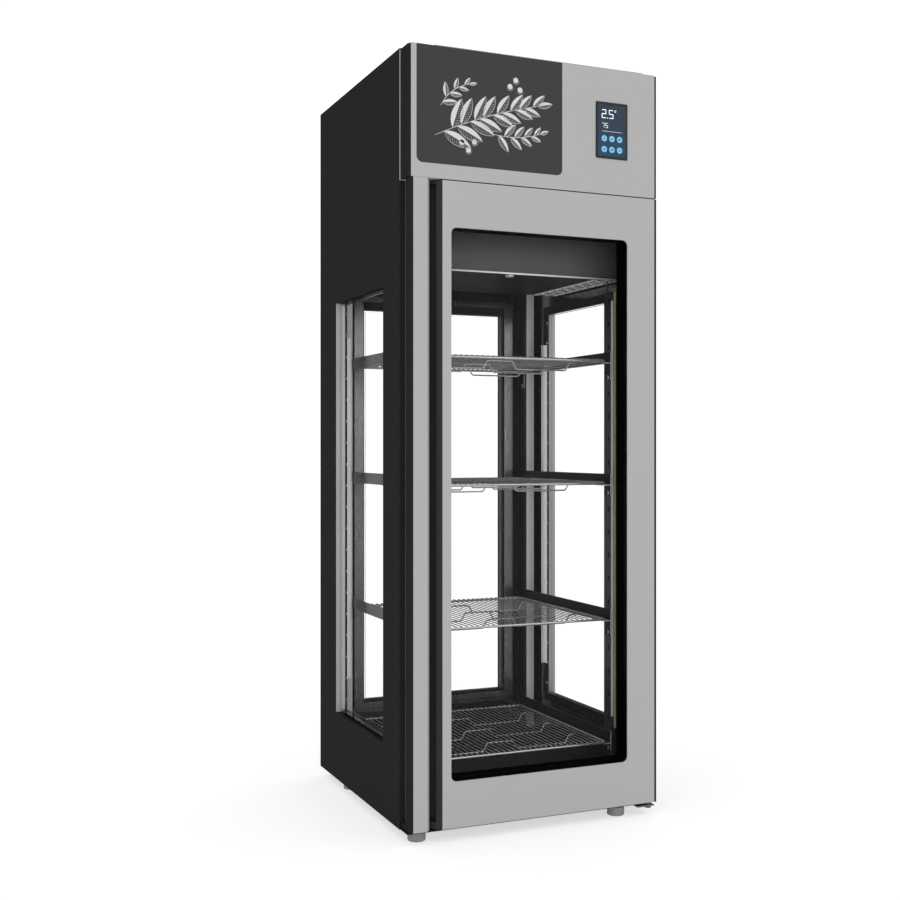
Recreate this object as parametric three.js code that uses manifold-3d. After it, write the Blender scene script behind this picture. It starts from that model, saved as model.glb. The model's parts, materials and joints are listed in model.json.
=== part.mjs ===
// Glazed dry aging cabinet: one door, four wire shelves, cooling unit on top.
// Millimetres, +Z up, +Y to the rear, origin at the centre of the footprint on the floor.
import * as THREE from 'three';
import { mergeVertices } from 'three/addons/utils/BufferGeometryUtils.js';
import Module from 'manifold-3d';

const wasm = await Module();
wasm.setup();

// Cabinet as a whole
const cabinetWidth = 750;
const cabinetHeight = 2081;
const bodyDepth = 770;
const gap = 0.3;
const cutOverrun = 1;
const sheet = 2;
const curveSteps = 6;
const cutSides = 16;
const leftX = -cabinetWidth / 2;
const rightX = cabinetWidth / 2;
const frontY = -bodyDepth / 2;
const rearY = bodyDepth / 2;

// Walls, floor and ceiling of the cooled compartment
const bodyBottomZ = 26.5;
const doorZoneDepth = 64;
const wallThickness = 30;
const rearWallThickness = 40;
const floorThickness = 83.5;
const ceilingThickness = 64;
const headerTopDrop = 3;
const headerHeight = 345.5;
const fasciaThickness = 3;
const fasciaReturnThickness = 2.5;
const bodyFrontY = frontY + doorZoneDepth;
const innerX = rightX - wallThickness;
const innerRearY = rearY - rearWallThickness;
const floorTopZ = bodyBottomZ + floorThickness;
const headerTopZ = cabinetHeight - headerTopDrop;
const headerBottomZ = headerTopZ - headerHeight;
const ceilingTopZ = headerBottomZ + fasciaReturnThickness;
const ceilingBottomZ = ceilingTopZ - ceilingThickness;
const machineFloorZ = ceilingTopZ + gap;

// Windows in the three walls
const windowRise = 118;
const windowDrop = 203;
const sideWindowFrontInset = 128;
const sideWindowRearInset = 161.5;
const rearWindowInset = 102;
const windowBottomZ = floorTopZ + windowRise;
const windowTopZ = ceilingBottomZ - windowDrop;
const windowMiddleZ = (windowBottomZ + windowTopZ) / 2;
const sideWindowFrontY = bodyFrontY + sideWindowFrontInset;
const sideWindowRearY = rearY - sideWindowRearInset;
const rearWindowX = innerX - rearWindowInset;

// Double glazed units and the frames that hold them
const glazingThickness = 18;
const paneThickness = 4;
const spacerInset = 2;
const spacerWidth = 5;
const spacerVent = 4;
const frameOverlap = 6;
const frameFaceWidth = 26;
const sideFrameThickness = 3;
const rearFrameThickness = 6;
const rearFrameSideGap = 3.5;
const rearFrameTopGap = 25;
const rearFrameBottomGap = 5;
const rearFrameSideWidth = 31;
const rearFrameEndWidth = 17;

// Hinge of the door
const hingeSideInset = 18;
const hingeFrontInset = 18;
const hingePinDiameter = 10;
const pinClearance = 0.4;
const hingePlateReach = 61;
const hingePlateSideInset = 7;
const hingePlateFrontInset = 2;
const hingePlateLap = 81;
const hingePlateThickness = 4.2;
const hingeWasherDiameter = 20;
const pinReach = 20;
const hingePinSides = 16;
const hingeX = rightX - hingeSideInset;
const hingeY = frontY + hingeFrontInset;
const hingePlateLeftX = rightX - hingePlateReach;
const hingePlateRearY = bodyFrontY + hingePlateLap;

// Front sill plate and feet
const sillThickness = 4;
const sillFrontInset = 15;
const sillLeftInset = 3;
const sillHingeGap = 9;
const footDiameter = 48;
const footPadHeight = 25;
const footNeckDiameter = 30;
const footChamfer = 1.5;
const studDiameter = 10;
const rearStudLength = 33.5;
const footFrontLeftSideInset = 42;
const footFrontLeftInset = 49;
const footFrontRightSideInset = 110;
const footFrontRightInset = 40;
const footRearSideInset = 41;
const footRearInset = 188;
const footSides = 18;
const sillRightX = hingePlateLeftX - sillHingeGap;

// Front frame that the door seals against
const frontFrameDepth = 21;
const frontFrameLeftInset = 85;
const frontFrameRightInset = 45;
const frontFrameBottomRise = 15;
const frontFrameTopDrop = 15;

// Header with its display, panel and end pieces
const headerLeftInset = 7.5;
const headerRightInset = 7.7;
const fasciaFlangeWidth = 15;
const capDepth = 53;
const capTopDrop = 2.5;
const capCornerRadius = 7;
const capSideInset = 0.5;
const displayRightInset = 96;
const displayWidth = 101;
const displayHeight = 156;
const displayRise = 97.5;
const displayCornerRadius = 4;
const displayCornerSteps = 2;
const bezelRise = 2.5;
const bezelBodyInset = 8;
const bezelBodyDepth = 22;
const screenInset = 7;
const screenThickness = 1.2;
const screenCornerRadius = 0.6;
const panelLeftInset = 23;
const panelToDisplay = 104.2;
const panelRise = 38.5;
const panelCornerRadius = 17;
const panelThickness = 1.2;
const headerLeftX = leftX + headerLeftInset;
const headerRightX = rightX - headerRightInset;
const capTopZ = headerTopZ - capTopDrop;
const displayRightX = rightX - displayRightInset;
const displayLeftX = displayRightX - displayWidth;
const displayBottomZ = headerBottomZ + displayRise;
const displayTopZ = displayBottomZ + displayHeight;
const panelLeftX = leftX + panelLeftInset;
const panelRightX = displayLeftX - panelToDisplay;
const panelBottomZ = headerBottomZ + panelRise;

// Roof cover and rear cover of the machine compartment
const roofThickness = 2.7;
const roofLeftInset = 75;
const roofRightInset = 45;
const roofFrontInset = 2;
const rearCoverThickness = 20;
const louvreCount = 10;
const louvreWidth = 230;
const louvreHeight = 8;
const louvrePitch = 20;
const louvreRightInset = 60;
const louvreRise = 40;
const inletLeftInset = 75;
const inletRise = 65;
const inletWidth = 52;
const inletHeight = 34;
const inletRecess = 12;
const inletWall = 5;
const louvreRightX = innerX - louvreRightInset;
const inletX = -innerX + inletLeftInset;
const inletZ = ceilingTopZ + inletRise;

// Door
const doorBottomRise = 6.5;
const doorTopDrop = 3;
const doorThickness = 61;
const doorLeftInset = 95.6;
const skinThickness = 3;
const doorWindowLeftInset = 25.4;
const doorWindowRightInset = 87.8;
const doorWindowBottomInset = 122;
const doorWindowTopInset = 121.5;
const doorWindowRadius = 16;
const doorGlazingThickness = 20;
const doorRebate = 14;
const doorTrimWidth = 6.9;
const doorTrimDepth = 38;
const doorTrimRadius = 2;
const doorBottomZ = bodyBottomZ + doorBottomRise;
const doorTopZ = headerBottomZ - doorTopDrop;
const doorRearY = frontY + doorThickness;
const doorFaceLeftX = leftX + doorLeftInset;
const doorFaceRightX = headerRightX;
const doorWindowLeftX = doorFaceLeftX + doorWindowLeftInset;
const doorWindowRightX = doorFaceRightX - doorWindowRightInset;
const doorWindowBottomZ = doorBottomZ + doorWindowBottomInset;
const doorWindowTopZ = doorTopZ - doorWindowTopInset;

// Grip profile on the free edge of the door, as distances from the face's edge and from the front
const gripWidth = 28.1;
const gripLipWidth = 13.6;
const gripLipInset = 12;
const gripUndercutWidth = 8.6;
const gripUndercutInset = 19;
const gripHollowWidth = 5.6;
const gripHollowInset = 35;
const gripHollowRearWidth = 20.6;
const gripHollowRearInset = 47;
const gripFlangeInset = 49;
const gripEndInset = 31;
const gripEndBottom = 18;
const gripEndTop = 8;
const gripLeftX = doorFaceLeftX - gripWidth;

// Front post left of the door
const postLeftInset = 14;
const postDoorGap = 4;
const postEdgeWidth = 2.1;
const postChamferWidth = 8;
const postChamferDepth = 11;
const postDepth = 35;
const postWebInset = 2;
const postTrimWidth = 8.2;
const grooveCapHeight = 15;
const postLeftX = leftX + postLeftInset;
const postRightX = gripLeftX - postDoorGap;
const postChamferX = postRightX - postEdgeWidth;
const postFaceRightX = postChamferX - postChamferWidth;
const postWebLeftX = postLeftX + postWebInset;

// Magnetic gasket between door and front frame
const gasketWidth = 13;
const gasketLeftInset = 2.5;
const gasketRightInset = 22.3;
const gasketEdgeLap = 1;
const gasketLeftX = gripLeftX + gasketLeftInset;
const gasketRightX = doorFaceRightX - gasketRightInset;
const gasketBottomZ = floorTopZ + gasketEdgeLap;
const gasketTopZ = ceilingBottomZ - gasketEdgeLap;

// Rack uprights with a row of slots
const uprightInset = 45;
const uprightLip = 10;
const rearUprightLip = 29;
const frontUprightDrop = 32;
const uprightTongueWidth = 10;
const frontUprightInset = 64;
const frontUprightWidth = 36;
const frontSlotInset = 11;
const rearUprightInset = 59;
const rearUprightWidth = 52;
const slotPitch = 67;
const firstSlotRise = 72.5;
const lastSlotDrop = 190;
const slotWidth = 8;
const slotHeight = 14;
const uprightFaceX = innerX - uprightInset;
const frontUprightFrontY = bodyFrontY + frontUprightInset;
const rearUprightFrontY = innerRearY - rearUprightInset;
const frontSlotY = frontUprightFrontY + frontSlotInset;
const rearSlotY = rearUprightFrontY + rearUprightWidth / 2;
const firstSlotZ = floorTopZ + firstSlotRise;
const slotCount = Math.floor((ceilingBottomZ - lastSlotDrop - firstSlotZ) / slotPitch) + 1;

// Air duct below the ceiling
const ductSideInset = 18;
const ductFrontInset = 71;
const ductRearInset = 202;
const ductHeight = 156;
const ductSlotLength = 60;
const ductSlotWidth = 12;
const ductSlotPitch = 29;
const ductSlotSideInset = 7;
const ductSlotEndInset = 10;
const ductHalfWidth = innerX - ductSideInset;
const ductFrontY = bodyFrontY + ductFrontInset;
const ductRearY = innerRearY - ductRearInset;
const ductBottomZ = ceilingBottomZ - ductHeight;
const frontUprightTopZ = ductBottomZ - frontUprightDrop;
const ductSlotRoom = ductRearY - ductFrontY - 2 * ductSlotEndInset;
const ductSlotCount = Math.floor((ductSlotRoom - ductSlotWidth) / ductSlotPitch) + 1;

// Wire shelves
const shelfSideGap = 15;
const shelfFrontInset = 53;
const shelfRearInset = 55;
const topShelfDrop = 233;
const lowestShelfRise = 75;
const shelfLevelShares = [1, 0.679, 0.3227, 0];
const railSize = 7;
const railDrop = 6;
const railLap = 1;
const wireThickness = 4;
const wireWidth = 3.6;
const wireSpacing = 16.4;
const crankWireSize = 4;
const crankHigh = 7;
const crankLow = 25;
const crankPitch = 156;
const crankInnerTop = 40;
const crankRun = 13;
const crankOuterInset = 72;
const crankEndCount = 2;
const shelfHalfWidth = uprightFaceX - shelfSideGap;
const shelfFrontY = bodyFrontY + shelfFrontInset;
const shelfRearY = innerRearY - shelfRearInset;
const topShelfZ = ductBottomZ - topShelfDrop;
const lowestShelfZ = floorTopZ + lowestShelfRise;
const shelfLevels = shelfLevelShares.map((share) => lowestShelfZ + share * (topShelfZ - lowestShelfZ));
const railInnerX = shelfHalfWidth - railSize;
const wireFieldX = railInnerX - railLap;
const wireCount = Math.round((2 * wireFieldX + wireWidth) / wireSpacing) - 1;
const wirePitch = (2 * wireFieldX + wireWidth) / (wireCount + 1);

// Shelf runners
const runnerRise = 25;
const runnerLedgeWidth = 24;
const runnerFrontInset = 59;
const runnerRearInset = 15;
const runnerPlateWidth = 30;
const runnerPlateHeight = 56;
const hookWidth = 6;
const hookHeight = 11;
const hookLength = 9;
const runnerScrewDiameter = 12;
const runnerScrewHeight = 3;
const runnerScrewDrop = 20;
const screwSides = 10;
const runnerFrontY = bodyFrontY + runnerFrontInset;
const runnerRearY = innerRearY - runnerRearInset;

// Light bars in the rear corners
const lightBarSize = 16;
const lightBarBottomRise = 102;
const lightBarTopDrop = 104;
const lightBarSides = 12;

// Evaporator coil and fan
const evaporatorSideInset = 117;
const evaporatorRearInset = 93;
const evaporatorDepth = 120;
const evaporatorRise = 30;
const evaporatorFinPitch = 21;
const evaporatorFinGap = 9;
const evaporatorFinDepth = 10;
const evaporatorFanDiameter = 124;
const evaporatorFanDepth = 26;
const evaporatorFanDrop = 77;
const evaporatorFanGap = 14;
const evaporatorRearY = ductRearY - evaporatorRearInset;
const guardRingWidth = 8;
const guardThickness = 4;
const guardSpokeWidth = 5;
const guardSpokeCount = 3;
const shaftDiameter = 8;
const hubShares = { diameter: 0.34, bladeWidth: 0.3, bladeRoot: 0.28 };
const bladeCount = 5;
const bladeThickness = 2;
const bladeTilt = Math.PI / 5;
const fanSides = 24;
const motorDiameter = 34;
const fanTipClearance = 5;
const evaporatorFanZ = ceilingBottomZ - evaporatorFanDrop;
const evaporatorFanRearY = ductRearY - sheet - evaporatorFanGap;
const evaporatorFanFrontY = evaporatorFanRearY - evaporatorFanDepth;

// Condenser with its fan
const condenserRightInset = 45;
const condenserWidth = 250;
const condenserDepth = 44;
const condenserRearGap = 12;
const condenserHeight = 240;
const condenserFinGap = 9;
const condenserFinPitch = 19;
const condenserFinDepth = 9;
const shroudDepth = 30;
const shroudWall = 3;
const shroudFloorDepth = 12;
const condenserFanDiameter = 200;
const condenserFanDepth = 30;
const condenserRightX = innerX - condenserRightInset;
const condenserLeftX = condenserRightX - condenserWidth;
const condenserX = (condenserLeftX + condenserRightX) / 2;
const condenserZ = machineFloorZ + condenserHeight / 2;
const condenserRearY = rearY - rearCoverThickness - condenserRearGap;
const condenserFrontY = condenserRearY - condenserDepth;
const shroudFrontY = condenserFrontY - shroudDepth;
const condenserFanRearY = shroudFrontY + shroudFloorDepth;
const condenserFanFrontY = condenserFanRearY - condenserFanDepth;

// Compressor and electrical box
const compressorLeftInset = 155;
const compressorRearInset = 255;
const compressorDiameter = 176;
const compressorHeight = 236;
const compressorFootHeight = 10;
const compressorFootDiameter = 200;
const compressorSeamRise = 120;
const compressorSeamHeight = 5;
const compressorDomeShares = [[1, 0.78], [0.93, 0.88], [0.74, 0.96], [0.4, 1]];
const electricalBoxRightInset = 195;
const electricalBoxWidth = 190;
const electricalBoxFrontInset = 81;
const electricalBoxDepth = 120;
const electricalBoxHeight = 150;
const lidOverhang = 3;
const lidHeight = 9;

// Materials with the colours of the real surfaces
const look = (color, roughness, metalness) => new THREE.MeshStandardMaterial({ color, roughness, metalness });
const silver = look(0xb2b2b2, 0.45, 0.6);
const blackSheet = look(0x282828, 0.5, 0.3);
const blackPlastic = look(0x1a1a1a, 0.5, 0);
const panelGrey = look(0x404040, 0.4, 0.1);
const screenBlue = look(0x24506a, 0.15, 0);
const glass = look(0xdfe8df, 0.05, 0);
const steel = look(0xa8a8a8, 0.3, 0.9);
const lightWhite = look(0xd8d8d8, 0.4, 0);
const rubber = look(0x111111, 0.9, 0);
const copper = look(0xa06a48, 0.4, 0.8);
const aluminium = look(0xbcbfc2, 0.4, 0.8);
const compressorBlack = look(0x1c1c1e, 0.45, 0.2);

// Closed geometry to a solid that can be cut and joined
function solid(geometry) {
  const bare = geometry.index ? geometry.toNonIndexed() : geometry.clone();
  bare.deleteAttribute('normal');
  bare.deleteAttribute('uv');
  const merged = mergeVertices(bare);
  const index = merged.index.array;
  const triangles = [];
  for (let i = 0; i < index.length; i += 3) {
    const [a, b, c] = [index[i], index[i + 1], index[i + 2]];
    if (a !== b && b !== c && c !== a) triangles.push(a, b, c);
  }
  return new wasm.Manifold(new wasm.Mesh({
    numProp: 3,
    vertProperties: Float32Array.from(merged.attributes.position.array),
    triVerts: Uint32Array.from(triangles),
  }));
}

// Solid back to a geometry for a mesh
function geometryOf(body) {
  const mesh = body.getMesh();
  const geometry = new THREE.BufferGeometry();
  const positions = new Float32Array(mesh.triVerts.length * 3);
  mesh.triVerts.forEach((vertex, corner) => {
    for (let axis = 0; axis < 3; axis += 1) {
      positions[corner * 3 + axis] = mesh.vertProperties[vertex * mesh.numProp + axis];
    }
  });
  geometry.setAttribute('position', new THREE.BufferAttribute(positions, 3));
  geometry.computeVertexNormals();
  return geometry;
}

function join(...bodies) {
  return bodies.reduce((sum, body) => sum.add(body));
}

function cut(body, ...tools) {
  return tools.reduce((rest, tool) => rest.subtract(tool), body);
}

// Box between two opposite corners
function block(x0, x1, y0, y1, z0, z1) {
  const geometry = new THREE.BoxGeometry(x1 - x0, y1 - y0, z1 - z0);
  geometry.translate((x0 + x1) / 2, (y0 + y1) / 2, (z0 + z1) / 2);
  return solid(geometry);
}

function outline(points) {
  return new THREE.Shape(points.map(([u, v]) => new THREE.Vector2(u, v)));
}

function extruded(shape, depth, steps = curveSteps) {
  return new THREE.ExtrudeGeometry(shape, { depth, bevelEnabled: false, curveSegments: steps });
}

// Outline in X and Y, extruded upwards
function prismZ(shape, z0, z1, steps) {
  const geometry = extruded(shape, z1 - z0, steps);
  geometry.translate(0, 0, z0);
  return solid(geometry);
}

// Outline in X and Z, extruded along Y
function prismY(shape, y0, y1, steps) {
  const geometry = extruded(shape, y1 - y0, steps);
  geometry.rotateX(Math.PI / 2);
  geometry.translate(0, y1, 0);
  return solid(geometry);
}

// Outline in Y and Z, extruded along X
function prismX(shape, x0, x1, steps) {
  const geometry = extruded(shape, x1 - x0, steps);
  geometry.rotateX(Math.PI / 2);
  geometry.rotateZ(Math.PI / 2);
  geometry.translate(x0, 0, 0);
  return solid(geometry);
}

function rectangle(u0, u1, v0, v1) {
  return outline([[u0, v0], [u1, v0], [u1, v1], [u0, v1]]);
}

// Rectangle with its own radius at each corner: lower left, lower right, upper right, upper left
function roundedRectangle(u0, u1, v0, v1, radii) {
  const [r0, r1, r2, r3] = radii;
  const shape = new THREE.Shape();
  shape.moveTo(u0 + r0, v0);
  shape.lineTo(u1 - r1, v0);
  if (r1) shape.absarc(u1 - r1, v0 + r1, r1, -Math.PI / 2, 0);
  shape.lineTo(u1, v1 - r2);
  if (r2) shape.absarc(u1 - r2, v1 - r2, r2, 0, Math.PI / 2);
  shape.lineTo(u0 + r3, v1);
  if (r3) shape.absarc(u0 + r3, v1 - r3, r3, Math.PI / 2, Math.PI);
  shape.lineTo(u0, v0 + r0);
  if (r0) shape.absarc(u0 + r0, v0 + r0, r0, Math.PI, 3 * Math.PI / 2);
  return shape;
}

// Round bar between two heights, or along Y between two places
function barZ(x, y, diameter, z0, z1, sides) {
  const geometry = new THREE.CylinderGeometry(diameter / 2, diameter / 2, z1 - z0, sides);
  geometry.rotateX(Math.PI / 2);
  geometry.translate(x, y, (z0 + z1) / 2);
  return solid(geometry);
}

function barY(x, z, diameter, y0, y1, sides) {
  const geometry = new THREE.CylinderGeometry(diameter / 2, diameter / 2, y1 - y0, sides);
  geometry.translate(x, (y0 + y1) / 2, z);
  return solid(geometry);
}

// Round body from a profile of radius and height
function turned(profile, x, y, sides) {
  const geometry = new THREE.LatheGeometry(profile.map(([r, z]) => new THREE.Vector2(r, z)), sides);
  geometry.rotateX(Math.PI / 2);
  geometry.translate(x, y, 0);
  return solid(geometry);
}

function mirrored(body, side) {
  return side < 0 ? body.mirror([1, 0, 0]) : body;
}

const cabinet = new THREE.Group();

function place(name, body, material, group = cabinet) {
  const mesh = new THREE.Mesh(geometryOf(body), material);
  mesh.name = name;
  group.add(mesh);
}

// Side wall: one panel from the base to the roof with a window opening
function sideWall() {
  const shape = rectangle(bodyFrontY, rearY, bodyBottomZ, cabinetHeight);
  shape.holes.push(rectangle(sideWindowFrontY, sideWindowRearY, windowBottomZ, windowTopZ));
  return prismX(shape, innerX, rightX);
}

function rearWall() {
  const shape = rectangle(-innerX + gap, innerX - gap, bodyBottomZ, ceilingTopZ);
  shape.holes.push(rectangle(-rearWindowX, rearWindowX, windowBottomZ, windowTopZ));
  return prismY(shape, innerRearY, rearY);
}

// Glazed unit: two panes joined by a spacer ring, with an open channel round the rim
function glazedUnit(u0, u1, v0, v1, thickness) {
  const inner = spacerInset + spacerWidth;
  const pane = rectangle(u0, u1, v0, v1);
  const spacer = rectangle(u0 + spacerInset, u1 - spacerInset, v0 + spacerInset, v1 - spacerInset);
  spacer.holes.push(rectangle(u0 + inner, u1 - inner, v0 + inner, v1 - inner));
  return { pane, spacer, thickness };
}

// A vent through the spacer keeps the space between the panes open
function unitAlongX(unit, x0, ventZ) {
  const x1 = x0 + unit.thickness;
  const middle = (x0 + x1) / 2;
  const vent = block(middle - spacerVent / 2, middle + spacerVent / 2, sideWindowFrontY, sideWindowFrontY
    + spacerInset + spacerWidth + cutOverrun, ventZ, ventZ + spacerVent);
  const panes = join(prismX(unit.pane, x0, x0 + paneThickness), prismX(unit.pane, x1 - paneThickness, x1));
  return cut(join(panes, prismX(unit.spacer, x0 + paneThickness / 2, x1 - paneThickness / 2)), vent);
}

function unitAlongY(unit, y0, ventX, ventZ) {
  const y1 = y0 + unit.thickness;
  const middle = (y0 + y1) / 2;
  const vent = block(ventX, ventX + spacerInset + spacerWidth + cutOverrun, middle - spacerVent / 2,
    middle + spacerVent / 2, ventZ, ventZ + spacerVent);
  const panes = join(prismY(unit.pane, y0, y0 + paneThickness), prismY(unit.pane, y1 - paneThickness, y1));
  return cut(join(panes, prismY(unit.spacer, y0 + paneThickness / 2, y1 - paneThickness / 2)), vent);
}

function sideGlazing() {
  const unit = glazedUnit(sideWindowFrontY + gap, sideWindowRearY - gap, windowBottomZ + gap,
    windowTopZ - gap, glazingThickness);
  return unitAlongX(unit, innerX, windowMiddleZ);
}

function rearGlazing() {
  const half = rearWindowX - gap;
  const unit = glazedUnit(-half, half, windowBottomZ + gap, windowTopZ - gap, glazingThickness);
  return unitAlongY(unit, innerRearY, -half, windowMiddleZ);
}

// Flat ring around a window, lapping over the glass by the overlap
function ring(u0, u1, v0, v1, lap, face) {
  const shape = rectangle(u0 + lap - face, u1 - lap + face, v0 + lap - face, v1 - lap + face);
  shape.holes.push(rectangle(u0 + lap, u1 - lap, v0 + lap, v1 - lap));
  return shape;
}

function sideWindowFrame() {
  const shape = ring(sideWindowFrontY, sideWindowRearY, windowBottomZ, windowTopZ, frameOverlap,
    frameFaceWidth);
  return prismX(shape, innerX - gap - sideFrameThickness, innerX - gap);
}

// Flat frame around the rear window, set back from the glass and further above it
function rearWindowFrame() {
  const half = rearWindowX + rearFrameSideGap;
  const bottom = windowBottomZ - rearFrameBottomGap;
  const top = windowTopZ + rearFrameTopGap;
  const outer = half + rearFrameSideWidth;
  const shape = rectangle(-outer, outer, bottom - rearFrameEndWidth, top + rearFrameEndWidth);
  shape.holes.push(rectangle(-half, half, bottom, top));
  return prismY(shape, innerRearY - gap - rearFrameThickness, innerRearY - gap);
}

// Base: insulated floor block with a sill plate that reaches forward below the door
function base() {
  const sillTop = bodyBottomZ + sillThickness;
  const floor = block(-innerX + gap, innerX - gap, bodyFrontY, innerRearY - gap, bodyBottomZ, floorTopZ);
  const sill = block(leftX + sillLeftInset, sillRightX, frontY + sillFrontInset, bodyFrontY - gap,
    bodyBottomZ, sillTop);
  const bridge = block(-innerX + gap, sillRightX, bodyFrontY - sillThickness, bodyFrontY + sillThickness,
    bodyBottomZ, sillTop);
  const holes = feet.map(({ x, y, studTop }) => (
    barZ(x, y, studDiameter + 2 * gap, bodyBottomZ - cutOverrun, studTop + cutOverrun, cutSides)));
  return cut(join(floor, sill, bridge), ...holes);
}

const sillStudTopZ = bodyBottomZ + sillThickness - gap;
const rearStudTopZ = bodyBottomZ + rearStudLength;
const rearFootX = rightX - footRearSideInset;
const rearFootY = rearY - footRearInset;
const feet = [
  {
    name: 'foot_front_left',
    x: leftX + footFrontLeftSideInset,
    y: frontY + footFrontLeftInset,
    studTop: sillStudTopZ,
  },
  {
    name: 'foot_front_right',
    x: rightX - footFrontRightSideInset,
    y: frontY + footFrontRightInset,
    studTop: sillStudTopZ,
  },
  { name: 'foot_rear_left', x: -rearFootX, y: rearFootY, studTop: rearStudTopZ },
  { name: 'foot_rear_right', x: rearFootX, y: rearFootY, studTop: rearStudTopZ },
];

// Foot: wide pad, neck against the base and a stud that enters it
function foot({ x, y, studTop }) {
  const pad = footDiameter / 2;
  const neckTop = bodyBottomZ - gap;
  const profile = [
    [0, 0],
    [pad - footChamfer, 0],
    [pad, footChamfer],
    [pad, footPadHeight - footChamfer],
    [pad - footChamfer, footPadHeight],
    [footNeckDiameter / 2, footPadHeight],
    [footNeckDiameter / 2, neckTop],
    [studDiameter / 2, neckTop],
    [studDiameter / 2, studTop],
    [0, studTop],
  ];
  return turned(profile, x, y, footSides);
}

function compartmentCeiling() {
  return block(-innerX + gap, innerX - gap, bodyFrontY, innerRearY - gap, ceilingBottomZ, ceilingTopZ);
}

function frontFrame() {
  const shape = rectangle(-innerX + gap, innerX - gap, floorTopZ + gap, ceilingBottomZ - gap);
  shape.holes.push(rectangle(leftX + frontFrameLeftInset, rightX - frontFrameRightInset,
    floorTopZ + frontFrameBottomRise, ceilingBottomZ - frontFrameTopDrop));
  return prismY(shape, bodyFrontY, bodyFrontY + frontFrameDepth);
}

// Header fascia: front plate with top and bottom returns, end flanges, recess and display cut-out
function headerFascia() {
  const backY = bodyFrontY - gap;
  const plate = block(headerLeftX, headerRightX, frontY, frontY + fasciaThickness, headerBottomZ, headerTopZ);
  const lower = block(headerLeftX, headerRightX, frontY, backY, headerBottomZ,
    headerBottomZ + fasciaReturnThickness);
  const upper = block(headerLeftX, headerRightX, frontY, backY, headerTopZ - fasciaReturnThickness,
    headerTopZ);
  const flangeFrontY = frontY + capDepth + gap;
  const leftFlange = block(leftX, leftX + fasciaFlangeWidth, flangeFrontY, backY, headerBottomZ, capTopZ);
  const rightFlange = block(rightX - fasciaFlangeWidth, rightX, flangeFrontY, backY, headerBottomZ, capTopZ);
  const recessShape = roundedRectangle(panelLeftX - gap, panelRightX + gap, panelBottomZ - gap,
    headerTopZ + cutOverrun, [panelCornerRadius, panelCornerRadius, 0, 0]);
  const recess = prismY(recessShape, frontY - cutOverrun, frontY + panelThickness + gap);
  const inset = bezelBodyInset - gap;
  const displayHole = block(displayLeftX + inset, displayRightX - inset, frontY - cutOverrun,
    frontY + fasciaThickness + cutOverrun, displayBottomZ + inset, displayTopZ - inset);
  const pinHole = barZ(hingeX, hingeY, hingePinDiameter + 2 * pinClearance, headerBottomZ - cutOverrun,
    headerBottomZ + fasciaReturnThickness + cutOverrun, cutSides);
  return cut(join(plate, lower, upper, leftFlange, rightFlange), recess, displayHole, pinHole);
}

// End piece of the header with a rounded front edge
function headerEnd(x0, x1, radii) {
  return prismZ(roundedRectangle(x0, x1, frontY, frontY + capDepth, radii), headerBottomZ, capTopZ);
}

function graphicsPanel() {
  const shape = roundedRectangle(panelLeftX, panelRightX, panelBottomZ, headerTopZ,
    [panelCornerRadius, panelCornerRadius, 0, 0]);
  return prismY(shape, frontY, frontY + panelThickness);
}

// Outline of the display, drawn in by an inset
function displayOutline(inset, radius) {
  return roundedRectangle(displayLeftX + inset, displayRightX - inset, displayBottomZ + inset,
    displayTopZ - inset, [radius, radius, radius, radius]);
}

// Bezel: bevelled rim proud of the fascia, body behind it, shallow seat for the screen
function displayBezel() {
  const halfRise = bezelRise / 2;
  const rim = prismY(displayOutline(0, displayCornerRadius), frontY - halfRise, frontY - gap,
    displayCornerSteps);
  const face = prismY(displayOutline(halfRise, displayCornerRadius - halfRise), frontY - bezelRise,
    frontY - halfRise + gap, displayCornerSteps);
  const bodyShape = rectangle(displayLeftX + bezelBodyInset, displayRightX - bezelBodyInset,
    displayBottomZ + bezelBodyInset, displayTopZ - bezelBodyInset);
  const body = prismY(bodyShape, frontY - halfRise, frontY + bezelBodyDepth);
  const seat = prismY(displayOutline(screenInset - gap, screenCornerRadius + gap),
    frontY - bezelRise - cutOverrun, frontY - bezelRise + screenThickness + gap, displayCornerSteps);
  return cut(join(rim, face, body), seat);
}

function displayScreen() {
  return prismY(displayOutline(screenInset, screenCornerRadius), frontY - bezelRise,
    frontY - bezelRise + screenThickness, displayCornerSteps);
}

// Roof: sheet between the side walls with a lip that lies on the header
function roofCover() {
  const bottom = headerTopZ + gap;
  const top = cabinetHeight;
  const main = block(-innerX + gap, innerX - gap, bodyFrontY, rearY - rearCoverThickness - gap,
    top - roofThickness, top);
  const lip = block(leftX + roofLeftInset, rightX - roofRightInset, frontY + roofFrontInset,
    bodyFrontY + cutOverrun, bottom, top);
  return join(main, lip);
}

// Rear cover of the machine compartment: louvre slots and the mains inlet
function machineRearCover() {
  const shape = rectangle(-innerX + gap, innerX - gap, machineFloorZ, cabinetHeight);
  for (let row = 0; row < louvreCount; row += 1) {
    const z = ceilingTopZ + louvreRise + row * louvrePitch;
    shape.holes.push(rectangle(louvreRightX - louvreWidth, louvreRightX, z, z + louvreHeight));
  }
  const plate = prismY(shape, rearY - rearCoverThickness, rearY);
  const inletBody = block(inletX - inletWidth / 2, inletX + inletWidth / 2, rearY - cutOverrun,
    rearY + bezelRise, inletZ - inletHeight / 2, inletZ + inletHeight / 2);
  const recess = block(inletX - inletWidth / 2 + inletWall, inletX + inletWidth / 2 - inletWall,
    rearY - inletRecess, rearY + bezelRise + cutOverrun, inletZ - inletHeight / 2 + inletWall,
    inletZ + inletHeight / 2 - inletWall);
  return cut(join(plate, inletBody), recess);
}

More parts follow.
